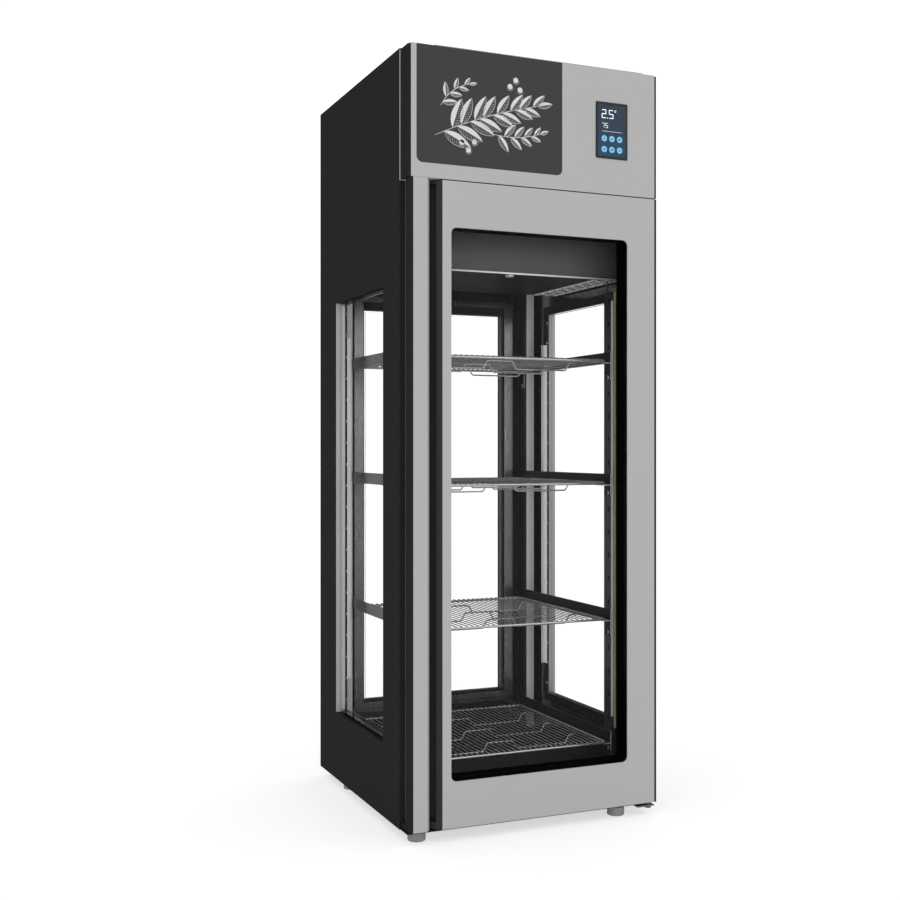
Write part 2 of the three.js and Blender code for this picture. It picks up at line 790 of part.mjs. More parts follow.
// Post left of the door: flat face, chamfer towards the grip, web back to the wall
function frontPost() {
  const backY = bodyFrontY - gap;
  const shape = outline([
    [postLeftX, frontY],
    [postFaceRightX, frontY],
    [postChamferX, frontY + postChamferDepth],
    [postRightX, frontY + postChamferDepth + postEdgeWidth],
    [postRightX, backY],
    [postWebLeftX, backY],
    [postWebLeftX, frontY + postDepth],
    [postLeftX, frontY + postDepth],
  ]);
  return prismZ(shape, doorBottomZ, headerBottomZ - gap);
}

// Black trim on the outer side of the post, with a cap that closes the groove at its foot
function postTrim() {
  const right = postLeftX - gap;
  const left = right - postTrimWidth;
  const trim = block(left, right, frontY, frontY + postDepth, doorBottomZ, headerBottomZ - gap);
  const cap = block(left, postWebLeftX - gap, frontY + postDepth - cutOverrun, bodyFrontY - gap,
    doorBottomZ, doorBottomZ + grooveCapHeight);
  const clearance = block(right, postWebLeftX, frontY, frontY + postDepth + gap, doorBottomZ - cutOverrun,
    headerBottomZ);
  return cut(join(trim, cap), clearance);
}

function doorWindowShape(grow) {
  const r = doorWindowRadius;
  return roundedRectangle(doorWindowLeftX - grow, doorWindowRightX + grow, doorWindowBottomZ - grow,
    doorWindowTopZ + grow, [r, r, r, r]);
}

function doorSkin() {
  const shape = rectangle(doorFaceLeftX, doorFaceRightX, doorBottomZ, doorTopZ);
  shape.holes.push(doorWindowShape(0));
  return prismY(shape, frontY, frontY + skinThickness);
}

// Core behind the skin: deep black reveal, rebate for the glass, bores for the hinge pins
function doorCore() {
  const frontFaceY = frontY + skinThickness + gap;
  const core = block(doorFaceLeftX + gap, doorFaceRightX - gap, frontFaceY, doorRearY, doorBottomZ, doorTopZ);
  const reveal = prismY(doorWindowShape(0), frontFaceY - cutOverrun, doorRearY + cutOverrun);
  const rebate = prismY(doorWindowShape(doorRebate), doorRearY - doorGlazingThickness - gap,
    doorRearY + cutOverrun);
  const bore = (z0, z1) => barZ(hingeX, hingeY, hingePinDiameter + 2 * pinClearance, z0, z1, hingePinSides);
  const lowerBore = bore(doorBottomZ - cutOverrun, doorBottomZ + pinReach + cutOverrun);
  const upperBore = bore(doorTopZ - pinReach - cutOverrun, doorTopZ + cutOverrun);
  return cut(core, reveal, rebate, lowerBore, upperBore);
}

function doorGlazing() {
  const grow = doorRebate - gap;
  const unit = glazedUnit(doorWindowLeftX - grow, doorWindowRightX + grow, doorWindowBottomZ - grow,
    doorWindowTopZ + grow, doorGlazingThickness - gap);
  const y0 = doorRearY - doorGlazingThickness;
  const bounds = prismY(doorWindowShape(grow), y0 - cutOverrun, doorRearY + cutOverrun);
  return unitAlongY(unit, y0, doorWindowLeftX - grow, windowMiddleZ).intersect(bounds);
}

// Grip: full-height profile with a finger hollow, closed at both ends
function doorGrip() {
  const right = doorFaceLeftX;
  const hollow = outline([
    [right, frontY],
    [right, doorRearY],
    [gripLeftX, doorRearY],
    [gripLeftX, frontY + gripFlangeInset],
    [right - gripHollowRearWidth, frontY + gripHollowRearInset],
    [right - gripHollowWidth, frontY + gripHollowInset],
    [right - gripUndercutWidth, frontY + gripUndercutInset],
    [right - gripLipWidth, frontY + gripLipInset],
  ]);
  const closed = outline([
    [right, frontY],
    [right, doorRearY],
    [gripLeftX, doorRearY],
    [gripLeftX, frontY + gripEndInset],
    [right - gripLipWidth, frontY + gripLipInset],
  ]);
  return join(
    prismZ(hollow, doorBottomZ, doorTopZ),
    prismZ(closed, doorBottomZ, doorBottomZ + gripEndBottom),
    prismZ(closed, doorTopZ - gripEndTop, doorTopZ),
  );
}

function doorTrim() {
  const left = doorFaceRightX + gap;
  const shape = roundedRectangle(left, left + doorTrimWidth, frontY, frontY + doorTrimDepth,
    [0, doorTrimRadius, 0, 0]);
  return prismZ(shape, doorBottomZ, doorTopZ);
}

function doorGasket() {
  const shape = rectangle(gasketLeftX, gasketRightX, gasketBottomZ, gasketTopZ);
  shape.holes.push(rectangle(gasketLeftX + gasketWidth, gasketRightX - gasketWidth,
    gasketBottomZ + gasketWidth, gasketTopZ - gasketWidth));
  return prismY(shape, doorRearY + gap, bodyFrontY - gap);
}

// Hinge plate with its welded washer and pin; the lower one lies below the base
function hingePlateLower() {
  const top = bodyBottomZ - gap;
  const plate = block(hingePlateLeftX, rightX - hingePlateSideInset, frontY + hingePlateFrontInset,
    hingePlateRearY, top - hingePlateThickness, top);
  const washer = barZ(hingeX, hingeY, hingeWasherDiameter, top - cutOverrun, doorBottomZ - gap,
    hingePinSides);
  const pin = barZ(hingeX, hingeY, hingePinDiameter, top - cutOverrun, doorBottomZ + pinReach, hingePinSides);
  return join(plate, washer, pin);
}

function hingePlateUpper() {
  const bottom = machineFloorZ;
  const top = bottom + hingePlateThickness;
  const frontEdge = frontY + fasciaThickness + gap;
  const plate = block(hingePlateLeftX, innerX - gap, frontEdge, hingePlateRearY, bottom, top);
  const nose = block(hingePlateLeftX, headerRightX, frontEdge, frontY + capDepth, bottom, top);
  const pin = barZ(hingeX, hingeY, hingePinDiameter, doorTopZ - pinReach, bottom + hingePlateThickness / 2,
    hingePinSides);
  return join(plate, nose, pin);
}

// Rack upright: shallow channel whose slotted web faces the shelves
function upright(y0, width, slotY, frontLip, topZ) {
  const outer = uprightFaceX + uprightLip;
  const frontOuter = uprightFaceX + frontLip;
  const channel = outline([
    [uprightFaceX, y0],
    [frontOuter, y0],
    [frontOuter, y0 + sheet],
    [uprightFaceX + sheet, y0 + sheet],
    [uprightFaceX + sheet, y0 + width - sheet],
    [outer, y0 + width - sheet],
    [outer, y0 + width],
    [uprightFaceX, y0 + width],
  ]);
  const slots = [];
  for (let row = 0; row < slotCount; row += 1) {
    const z = firstSlotZ + row * slotPitch;
    slots.push(block(uprightFaceX - cutOverrun, uprightFaceX + sheet + cutOverrun, slotY - slotWidth / 2,
      slotY + slotWidth / 2, z - slotHeight / 2, z + slotHeight / 2));
  }
  return cut(prismZ(channel, floorTopZ + gap, topZ), ...slots);
}

// Front upright: ends below the duct, where a tongue of its web reaches the duct
function frontUpright(side) {
  const body = upright(frontUprightFrontY, frontUprightWidth, frontSlotY, uprightLip, frontUprightTopZ);
  const middle = frontUprightFrontY + frontUprightWidth / 2;
  const tongue = block(uprightFaceX, uprightFaceX + sheet, middle - uprightTongueWidth / 2,
    middle + uprightTongueWidth / 2, frontUprightTopZ - uprightTongueWidth, ductBottomZ - gap);
  return mirrored(join(body, tongue), side);
}

// Rear upright: reaches the ceiling behind the duct
function rearUpright(side) {
  return mirrored(upright(rearUprightFrontY, rearUprightWidth, rearSlotY, rearUprightLip,
    ceilingBottomZ - gap), side);
}

// Runner: angle that carries a shelf, an end plate at each upright, a hook in the nearest slot, a screw
function runner(side, level) {
  const outer = uprightFaceX - gap;
  const inner = outer - sheet;
  const ledgeTop = level - railDrop - gap;
  const ledgeBottom = ledgeTop - sheet;
  const leg = block(inner, outer, runnerFrontY, runnerRearY, ledgeBottom, level + runnerRise);
  const ledge = block(inner - runnerLedgeWidth, inner + cutOverrun, runnerFrontY, runnerRearY, ledgeBottom,
    ledgeTop);
  const slotIndex = Math.min(Math.max(Math.round((level - firstSlotZ) / slotPitch), 0), slotCount - 1);
  const slotZ = firstSlotZ + slotIndex * slotPitch;
  const ends = [frontSlotY, rearSlotY].flatMap((y) => {
    const plateRear = Math.min(y + runnerPlateWidth / 2, runnerRearY);
    const plateFront = Math.max(y - runnerPlateWidth / 2, runnerFrontY);
    const plate = block(inner, outer, plateFront, plateRear, slotZ - runnerPlateHeight / 2,
      slotZ + runnerPlateHeight / 2);
    const hook = block(inner, outer + hookLength, y - hookWidth / 2, y + hookWidth / 2,
      slotZ - hookHeight / 2, slotZ + hookHeight / 2);
    return [plate, hook];
  });
  const screws = [frontSlotY, rearSlotY].map((y) => {
    const geometry = new THREE.CylinderGeometry(runnerScrewDiameter / 2, runnerScrewDiameter / 2,
      runnerScrewHeight + sheet, screwSides);
    geometry.rotateZ(Math.PI / 2);
    geometry.translate(inner + (sheet - runnerScrewHeight) / 2, y, slotZ - runnerScrewDrop);
    return solid(geometry);
  });
  return mirrored(join(leg, ledge, ...ends, ...screws), side);
}

// Shelf: rail frame with a field of wires flush with its top, and cranked stiffening wires below
function shelf(level) {
  const top = level + wireThickness;
  const frame = block(-shelfHalfWidth, shelfHalfWidth, shelfFrontY, shelfRearY, level - railDrop, top);
  const pocket = block(-railInnerX, railInnerX, shelfFrontY + railSize, shelfRearY - railSize,
    level - railDrop - cutOverrun, level);
  const slots = [];
  for (let i = 0; i <= wireCount; i += 1) {
    const left = -wireFieldX + i * wirePitch;
    slots.push(block(left, left + wirePitch - wireWidth, shelfFrontY + railSize + railLap,
      shelfRearY - railSize - railLap, level - cutOverrun, top + cutOverrun));
  }
  const middleY = (shelfFrontY + shelfRearY) / 2;
  const cranks = [-crankPitch, 0, crankPitch].map((offset) => crankWire(level, middleY + offset));
  return join(cut(frame, pocket, ...slots), ...cranks);
}

// Stiffening wire that dips in two troughs and turns up into a grid wire at each end
function crankWire(level, y) {
  const high = level - crankHigh;
  const low = level - crankLow;
  const crankOuterFoot = shelfHalfWidth - crankOuterInset;
  const end = wireFieldX + wireWidth / 2 - crankEndCount * wirePitch;
  const half = [
    [crankInnerTop, high],
    [crankInnerTop + crankRun, low],
    [crankOuterFoot, low],
    [crankOuterFoot + crankRun, high],
    [end - crankHigh, high],
    [end, level],
  ];
  const path = [...half.map(([x, z]) => [-x, z]).reverse(), ...half];
  const thick = crankWireSize / 2;
  const upper = path.map(([x, z]) => [x, z + thick]);
  const lower = path.map(([x, z]) => [x, z - thick]).reverse();
  return prismY(outline([...upper, ...lower]), y - thick, y + thick);
}

function lightBar(side) {
  const half = lightBarSize / 2;
  const x = innerX - 2 * gap - sideFrameThickness - half;
  const bottom = windowBottomZ + lightBarBottomRise;
  const top = windowTopZ - lightBarTopDrop;
  const bar = barZ(x, sideWindowRearY, lightBarSize, bottom, top, lightBarSides);
  const flat = block(x, x + half, sideWindowRearY - half, sideWindowRearY + half, bottom, top);
  return mirrored(join(bar, flat), side);
}

// Duct: open-topped sheet box with slots along both sides of its bottom and an air inlet at the rear
function airDuct() {
  const top = ceilingBottomZ - gap;
  const outside = block(-ductHalfWidth, ductHalfWidth, ductFrontY, ductRearY, ductBottomZ, top);
  const inside = block(-ductHalfWidth + sheet, ductHalfWidth - sheet, ductFrontY + sheet, ductRearY - sheet,
    ductBottomZ + sheet, top + cutOverrun);
  const slots = [];
  for (let row = 0; row < ductSlotCount; row += 1) {
    const y = ductFrontY + ductSlotEndInset + row * ductSlotPitch;
    const outer = ductHalfWidth - ductSlotSideInset;
    for (const [x0, x1] of [[-outer, -outer + ductSlotLength], [outer - ductSlotLength, outer]]) {
      slots.push(block(x0, x1, y, y + ductSlotWidth, ductBottomZ - cutOverrun,
        ductBottomZ + sheet + cutOverrun));
    }
  }
  const inlet = barY(0, evaporatorFanZ, evaporatorFanDiameter + 2 * fanTipClearance,
    ductRearY - sheet - cutOverrun, ductRearY + cutOverrun, fanSides);
  return cut(outside, inside, inlet, ...slots);
}

// Finned coil: core block with slots between the fins, front and rear
function finnedBlock(x0, x1, y0, y1, z0, z1, pitch, finGap, finDepth) {
  const body = block(x0, x1, y0, y1, z0, z1);
  const slots = [];
  const count = Math.floor((x1 - x0 - finGap) / pitch);
  const start = (x0 + x1) / 2 - (count - 1) * pitch / 2;
  for (let i = 0; i < count; i += 1) {
    const x = start + i * pitch;
    for (const [ya, yb] of [[y0 - cutOverrun, y0 + finDepth], [y1 - finDepth, y1 + cutOverrun]]) {
      slots.push(block(x - finGap / 2, x + finGap / 2, ya, yb, z0 + finDepth, z1 - finDepth));
    }
  }
  return cut(body, ...slots);
}

function evaporatorCoil() {
  const half = ductHalfWidth - evaporatorSideInset;
  return finnedBlock(-half, half, evaporatorRearY - evaporatorDepth, evaporatorRearY,
    ductBottomZ + evaporatorRise, ceilingBottomZ - gap, evaporatorFinPitch, evaporatorFinGap,
    evaporatorFinDepth);
}

// Fan: hub with tilted blades and a bore for the shaft, axis along Y
function fanRotor(x, z, y0, depth, diameter) {
  const hub = diameter * hubShares.diameter;
  const middleY = y0 + depth / 2;
  const bladeWidth = diameter * hubShares.bladeWidth;
  const bladeLength = diameter / 2 - diameter * hubShares.bladeRoot / 2;
  const blades = [];
  for (let i = 0; i < bladeCount; i += 1) {
    const blade = new THREE.BoxGeometry(bladeWidth, bladeThickness, bladeLength);
    blade.rotateZ(bladeTilt);
    blade.translate(0, 0, diameter / 2 - bladeLength / 2);
    blade.rotateY((i * 2 * Math.PI) / bladeCount);
    blade.translate(x, middleY, z);
    blades.push(solid(blade));
  }
  const disc = barY(x, z, diameter, y0, y0 + depth, fanSides);
  const trimmed = join(...blades).intersect(disc);
  const bore = barY(x, z, shaftDiameter + 2 * gap, y0 - cutOverrun, y0 + depth + cutOverrun, cutSides);
  return cut(join(barY(x, z, hub, y0, y0 + depth, fanSides), trimmed), bore);
}

// Guard: ring with spokes, motor and shaft, axis along Y
function fanGuard(x, z, y0, y1, diameter, shaftY0, shaftY1) {
  const outer = diameter / 2 + fanTipClearance + guardRingWidth;
  const inner = outer - guardRingWidth + fanTipClearance / 2;
  const rim = cut(barY(x, z, 2 * outer, y0, y1, fanSides),
    barY(x, z, 2 * inner, y0 - cutOverrun, y1 + cutOverrun, fanSides));
  const spokes = [];
  for (let i = 0; i < guardSpokeCount; i += 1) {
    const spoke = new THREE.BoxGeometry(guardSpokeWidth, y1 - y0, inner + outer);
    spoke.rotateY((i * Math.PI) / guardSpokeCount);
    spoke.translate(x, (y0 + y1) / 2, z);
    spokes.push(solid(spoke));
  }
  const motor = barY(x, z, motorDiameter, y0, y1, fanSides);
  const shaft = barY(x, z, shaftDiameter, shaftY0, shaftY1, cutSides);
  return join(rim, ...spokes, motor, shaft);
}

function evaporatorFan() {
  return fanRotor(0, evaporatorFanZ, evaporatorFanFrontY, evaporatorFanDepth, evaporatorFanDiameter);
}

function evaporatorFanGuard() {
  return fanGuard(0, evaporatorFanZ, ductRearY + gap, ductRearY + gap + guardThickness, evaporatorFanDiameter,
    evaporatorFanFrontY, ductRearY + gap + guardThickness / 2);
}

// Condenser: finned coil with a shroud in front, motor on three arms and the shaft of the fan
function condenser() {
  const top = machineFloorZ + condenserHeight;
  const coil = finnedBlock(condenserLeftX, condenserRightX, condenserFrontY, condenserRearY,
    machineFloorZ, top, condenserFinPitch, condenserFinGap, condenserFinDepth);
  const opening = condenserFanDiameter + 2 * fanTipClearance;
  const shroudBox = block(condenserLeftX, condenserRightX, shroudFrontY, condenserFrontY + cutOverrun,
    machineFloorZ, top);
  const plenum = block(condenserLeftX + shroudWall, condenserRightX - shroudWall, shroudFrontY + shroudWall,
    condenserFrontY + 2 * cutOverrun, machineFloorZ + shroudWall, top - shroudWall);
  const inlet = barY(condenserX, condenserZ, opening, shroudFrontY - cutOverrun, condenserFrontY, fanSides);
  const shroud = cut(shroudBox, plenum, inlet);
  const motor = barY(condenserX, condenserZ, motorDiameter, condenserFanRearY + gap,
    condenserFrontY + cutOverrun, fanSides);
  const shaft = barY(condenserX, condenserZ, shaftDiameter, condenserFanFrontY, condenserFrontY, cutSides);
  return join(coil, shroud, motor, shaft);
}

function condenserFan() {
  return fanRotor(condenserX, condenserZ, condenserFanFrontY, condenserFanDepth, condenserFanDiameter);
}

// Compressor: foot plate, can with a weld seam and a domed top
function compressor() {
  const floor = machineFloorZ;
  const radius = compressorDiameter / 2;
  const seamZ = floor + compressorSeamRise;
  const dome = compressorDomeShares.map(([r, h]) => [radius * r, floor + compressorHeight * h]);
  const profile = [
    [0, floor],
    [compressorFootDiameter / 2, floor],
    [compressorFootDiameter / 2, floor + compressorFootHeight],
    [radius, floor + compressorFootHeight],
    [radius, seamZ - compressorSeamHeight],
    [radius + compressorSeamHeight, seamZ],
    [radius, seamZ + compressorSeamHeight],
    ...dome,
    [0, floor + compressorHeight],
  ];
  return turned(profile, -innerX + compressorLeftInset, rearY - compressorRearInset, fanSides);
}

function electricalBox() {
  const x1 = innerX - electricalBoxRightInset;
  const x0 = x1 - electricalBoxWidth;
  const y0 = bodyFrontY + electricalBoxFrontInset;
  const y1 = y0 + electricalBoxDepth;
  const lidZ = machineFloorZ + electricalBoxHeight - lidOverhang;
  const body = block(x0, x1, y0, y1, machineFloorZ, machineFloorZ + electricalBoxHeight);
  const lid = block(x0 - lidOverhang, x1 + lidOverhang, y0 - lidOverhang, y1 + lidOverhang, lidZ,
    lidZ + lidHeight);
  return join(body, lid);
}

// Assembly
const sides = [['left', -1], ['right', 1]];

for (const [word, side] of sides) {
  place(`${word}_wall`, mirrored(sideWall(), side), blackSheet);
  place(`${word}_glazing`, mirrored(sideGlazing(), side), glass);
  place(`${word}_window_frame`, mirrored(sideWindowFrame(), side), blackPlastic);
  place(`light_bar_${word}`, lightBar(side), lightWhite);
  place(`rack_upright_front_${word}`, frontUpright(side), steel);
  place(`rack_upright_rear_${word}`, rearUpright(side), steel);
  shelfLevels.forEach((level, i) => place(`runner_${i + 1}_${word}`, runner(side, level), steel));
}

place('rear_wall', rearWall(), blackSheet);
place('rear_glazing', rearGlazing(), glass);
place('rear_window_frame', rearWindowFrame(), steel);
place('base_floor', base(), blackSheet);
place('compartment_ceiling', compartmentCeiling(), blackSheet);
place('front_frame', frontFrame(), blackPlastic);
place('header_fascia', headerFascia(), silver);
place('header_left_cap', headerEnd(leftX, headerLeftX - gap, [capCornerRadius, 0, 0, 0]), blackPlastic);
place('header_right_trim', headerEnd(headerRightX + gap, rightX - capSideInset,
  [0, capCornerRadius / 2, 0, 0]), blackPlastic);
place('graphics_panel', graphicsPanel(), panelGrey);
place('display_bezel', displayBezel(), blackPlastic);
place('display_screen', displayScreen(), screenBlue);
place('roof_cover', roofCover(), silver);
place('machine_rear_cover', machineRearCover(), blackSheet);
place('front_post', frontPost(), silver);
place('post_trim', postTrim(), blackPlastic);
place('hinge_plate_lower', hingePlateLower(), steel);
place('hinge_plate_upper', hingePlateUpper(), steel);
place('air_duct_cover', airDuct(), steel);
place('evaporator_coil', evaporatorCoil(), aluminium);
place('evaporator_fan_guard', evaporatorFanGuard(), blackPlastic);
place('evaporator_fan', evaporatorFan(), blackPlastic);
place('condenser', condenser(), copper);
place('condenser_fan', condenserFan(), aluminium);
place('compressor', compressor(), compressorBlack);
place('electrical_box', electricalBox(), silver);

shelfLevels.forEach((level, i) => place(`shelf_${i + 1}`, shelf(level), steel));
feet.forEach((spot) => place(spot.name, foot(spot), steel));

const door = new THREE.Group();
cabinet.add(door);
place('door_skin', doorSkin(), silver, door);
place('door_core', doorCore(), blackPlastic, door);
place('door_glazing', doorGlazing(), glass, door);
place('door_grip', doorGrip(), blackPlastic, door);
place('door_trim', doorTrim(), blackPlastic, door);
place('door_gasket', doorGasket(), rubber, door);

export default cabinet;
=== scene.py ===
# Looks of a glazed dry aging cabinet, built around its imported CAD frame.
# Metres, +Z up, +Y to the rear, origin at the centre of the footprint on the floor.
import json
import math

import bmesh
import bpy
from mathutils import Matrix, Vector


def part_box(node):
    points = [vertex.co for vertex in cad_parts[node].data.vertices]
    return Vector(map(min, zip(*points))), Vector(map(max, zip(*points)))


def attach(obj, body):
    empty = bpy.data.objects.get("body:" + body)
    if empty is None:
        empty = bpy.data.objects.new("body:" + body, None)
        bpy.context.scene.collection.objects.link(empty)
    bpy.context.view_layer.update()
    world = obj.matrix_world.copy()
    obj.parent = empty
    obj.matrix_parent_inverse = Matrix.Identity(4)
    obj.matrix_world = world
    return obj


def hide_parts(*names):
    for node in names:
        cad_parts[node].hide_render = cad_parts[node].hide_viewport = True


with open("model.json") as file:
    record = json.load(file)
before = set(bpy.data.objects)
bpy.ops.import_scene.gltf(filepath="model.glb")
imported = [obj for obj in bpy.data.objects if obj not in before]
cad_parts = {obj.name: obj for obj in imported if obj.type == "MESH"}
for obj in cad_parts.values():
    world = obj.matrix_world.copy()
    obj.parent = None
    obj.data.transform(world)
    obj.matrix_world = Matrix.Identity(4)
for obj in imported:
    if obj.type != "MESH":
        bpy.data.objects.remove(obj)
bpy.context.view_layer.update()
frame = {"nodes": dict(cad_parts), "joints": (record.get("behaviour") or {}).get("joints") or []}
nodes = frame["nodes"]
scene = bpy.context.scene

MM = 0.001
SIDES = {"left": -1, "right": 1}
ENDS = ("front", "rear")
SHELF_ROWS = range(1, 5)
UPWARD = (0, 0, 1)
REARWARD = (0, 1, 0)

# Camera and floor
CAMERA_PLACE = (-1.5145, -3.3350, 1.0321)
CAMERA_YAW = math.radians(-23.069)
CAMERA_LENS = 49.03
CAMERA_SENSOR = 36.0
CAMERA_SHIFT_Y = -0.0032
FLOOR_SIZE = 400.0
FLOOR_DROP = 0.5 * MM

# Light of the surroundings, and the greys that shiny faces mirror along a full turn
BACKDROP_LIGHT = 1.1
MATT_LIGHT = 1.0
MIRRORED_GREYS = (
    (0.0, 0.14), (0.11, 0.14), (0.15, 0.72), (0.26, 0.8), (0.38, 0.72), (0.43, 0.2), (0.52, 0.12),
    (0.66, 0.1), (0.74, 0.16), (0.82, 0.1), (1.0, 0.14))

# Sockets of a mix node that carry its two colours and its result
MIX_FIRST = 6
MIX_SECOND = 7
MIX_RESULT = 2

# Patterns that the materials share
CLOUD_SCALE = 3.0
CLOUD_DETAIL = 4.0
NOISE_LOW = 0.3
NOISE_HIGH = 0.7
GRAIN_SCALE = 420.0
SHEET_GRAIN = 0.015
PLASTIC_GRAIN = 0.03
SHEET_BUMP = 0.02
BUMP_HEIGHT = 0.2 * MM

# Share of a face's direction that makes it count as facing an axis
FACING = 0.5

# Colours of more than one material
SILVER_CODE = "b4b4b4"
COAT_CODE = "272727"
CAP_CODE = "262626"

# Edges of the CAD nodes
EDGE_SOFTNESS = 0.5 * MM
FRAME_SOFTNESS = 1.0 * MM
EDGE_ANGLE = math.radians(35)
WELD_DISTANCE = 0.01 * MM

# Gap between a piece and the sheet or pane that it sits on
PIECE_GAP = 0.3 * MM

# Share of a radius at which the ends of a turned body close
CENTRE_SHARE = 0.1

# Cooled compartment, whose faces are stainless inside and dull on its floor
LINER_HALF_WIDTH = 345.5 * MM
LINER_REAR_Y = 345.5 * MM
LINER_BOTTOM_Z = 109.5 * MM
LINER_TOP_Z = 1672.0 * MM
LINER_LOW_Z = 112.0 * MM
LINER_LOW_DULLNESS = 0.75

# Rear wall around its window, painted in the black coat as painted shade
LINER_BAND_Y = 344.5 * MM
LINER_BAND_BOTTOM_Z = 206.5 * MM
LINER_BAND_TOP_Z = 1509.5 * MM

# Left flange of the header, coated dark in front of a silver strip
HEADER_COAT_START = 374.6 * MM
HEADER_STRIP_START = -326.5 * MM

# Wire shelves
RAIL_DIAMETER = 7.0 * MM
RAIL_CORNER = 12.0 * MM
RAIL_FACES = 12
WIRE_DIAMETER = 3.2 * MM
WIRE_PITCH = 16.4 * MM
WIRE_END_INSET = 1.0 * MM
WIRE_FACES = 8
CRANK_DIAMETER = 4.6 * MM
CRANK_PITCH = 156.0 * MM
CRANK_INNER = 40.0 * MM
CRANK_RUN = 13.0 * MM
CRANK_OUTER_INSET = 72.0 * MM
CRANK_END_INSET = 36.0 * MM
CRANK_BEND = 3.0 * MM

# Smallest divisor of a bent wire's mitre, which limits its stretch
MITRE_LIMIT = 0.3

# Expanded grilles under the air duct
GRILLE_WIDTH = 66.0 * MM
GRILLE_SIDE_INSET = 4.0 * MM
GRILLE_END_INSET = 6.0 * MM
GRILLE_CELL_LENGTH = 44.0 * MM
GRILLE_CELL_WIDTH = 22.0 * MM
GRILLE_STRAND = 5.6 * MM
GRILLE_THICKNESS = 1.0 * MM

# Knob under the air duct, and the hem on the duct's lower front edge
KNOB_DIAMETER = 25.0 * MM
KNOB_HEIGHT = 5.0 * MM
KNOB_EDGE_SHARE = 0.3
KNOB_TOP_SHARE = 0.25
KNOB_DISH_SHARE = 0.2
KNOB_X = -13.0 * MM
KNOB_FRONT_INSET = 14.0 * MM
KNOB_FACES = 32
HEM_DIAMETER = 5.0 * MM

# Grey of the reflections on the air duct
DUCT_TINT = 0.55

# Glass strip in front of each side window
PANE_EDGE_THICKNESS = 3.0 * MM
PANE_EDGE_DEPTH = 9.0 * MM
PANE_EDGE_LEAD = 7.0 * MM

# Lips of the rack uprights beside their slotted webs, painted bright as a painted highlight, and how far
# inwards a face has to look to take the inner colour, a painted shade on the runners
RACK_LIP_START = 302.0 * MM
INNER_FACE_LIMIT = -50.0 * MM

# Black border round the glass of the door
BORDER_INSET = 14.1 * MM
BORDER_WIDTH = 11.0 * MM
BORDER_RADIUS = 15.6 * MM
BORDER_TOP_WIDTH = 2.0 * MM
BORDER_THICKNESS = 0.4 * MM

# Dark sheets on the front lip of the front uprights, as painted shade above and below the windows
CAP_THICKNESS = 1.0 * MM
CAP_LAP = 25.0 * MM
UPRIGHT_TONGUE = 32.0 * MM

# Dark strips behind the slots of the uprights, as painted shade in their hollows
BACKING_GAP = 9.0 * MM
BACKING_THICKNESS = 0.8 * MM
BACKING_EDGE = 2.5 * MM
BACKING_TOP_INSET = 40.0 * MM

# Outer reveal of the side windows and the clips along their panes
REVEAL_THICKNESS = 0.6 * MM
CLIP_PITCH = 65.0 * MM
CLIP_HEIGHT = 5.0 * MM
CLIP_RISE = 1.2 * MM
CLIP_LEAD = 1.5 * MM
CLIP_INSET = 6.0 * MM

# Strokes of the drawing on the header panel
PRINT_RISE = 0.15 * MM
STROKE_WIDTH = 1.1 * MM
FINE_STROKE_WIDTH = 0.6 * MM
STEM_STROKE_WIDTH = STROKE_WIDTH * 1.6

# Leaves of the drawing, as shares of a leaf's length and width
LEAF_STEPS = 9
LEAF_SLIMNESS = 0.36
LEAF_SHRINK = 0.5
LEAF_POINT = 0.75
LEAF_BASE_FULLNESS = 1.15
LEAF_TIP_LOSS = 0.3
RIB_SHARE = 0.06
HATCH_COUNT = 11
HATCH_START = -0.05
HATCH_END = -0.9
HATCH_SLANT = 0.1

# Stems of the drawing, and the places and lean in degrees of their leaves
STEM_STEPS = 24
FIRST_LEAF = 0.12
LEAF_SPAN = 0.86
LEAF_LEAN = 52
LEAF_LEAN_LOSS = 22
LONGEST_LEAF = 0.3

# Berries of the drawing, as shares of the panel, and the arcs beside them in degrees
BERRIES = ((0.30, 0.2), (0.345, 0.14), (0.385, 0.215), (0.63, 0.73), (0.67, 0.79), (0.70, 0.71))
BERRY_SHARE = 0.024
ARC_SHARE = 1.45
ARC_START = -150
ARC_STEP = 12
ARC_POINTS = 13

# Control display
SCREEN_RECESS = 0.35 * MM
SCREEN_THICKNESS = 0.8 * MM
SCREEN_RADIUS = 1.5 * MM
ICON_RISE = 0.15 * MM
ICON_RADIUS = 8.5 * MM
DIGIT_HEIGHT = 22.0 * MM
DIGIT_WIDTH = 12.0 * MM
DIGIT_STROKE = 2.0 * MM

# Layout of the display, as shares of the screen's width or height
SCREEN_MARGIN = 0.14
FIGURES_LEVEL = 0.74
SMALL_FIGURES_LEVEL = 0.55
LINE_LEVEL = 0.48
ICON_COLUMNS = (0.22, 0.5, 0.78)
ICON_ROWS = (0.34, 0.13)

# Signs of the display, as shares of a figure's size and stroke, or of an icon's radius
DOT_PLACE = 1.45
DOT_SHARE = 0.7
DOT_FACES = 12
LAST_FIGURE_PLACE = 1.9
DEGREE_PLACE = 3.5
DEGREE_LEVEL = 0.92
DEGREE_SHARE = 1.2
DEGREE_STROKE_SHARE = 0.5
DEGREE_FACES = 16
SMALL_SHARE = 0.55
SMALL_PITCH = 1.7
LINE_STROKE_SHARE = 0.3
SIGN_SHARE = 0.6
SIGN_STROKE_SHARE = 0.16

# Bars that make up each figure of the display
SEGMENTS = {"2": "abged", "5": "afgcd", "7": "abc"}

# Feet
FOOT_FACES = 56
FOOT_EDGE = 3.0 * MM
FOOT_EDGE_STEPS = 5
FOOT_PAD_HEIGHT = 25.0 * MM
FOOT_NECK_DIAMETER = 30.0 * MM
FOOT_STUD_DIAMETER = 10.0 * MM

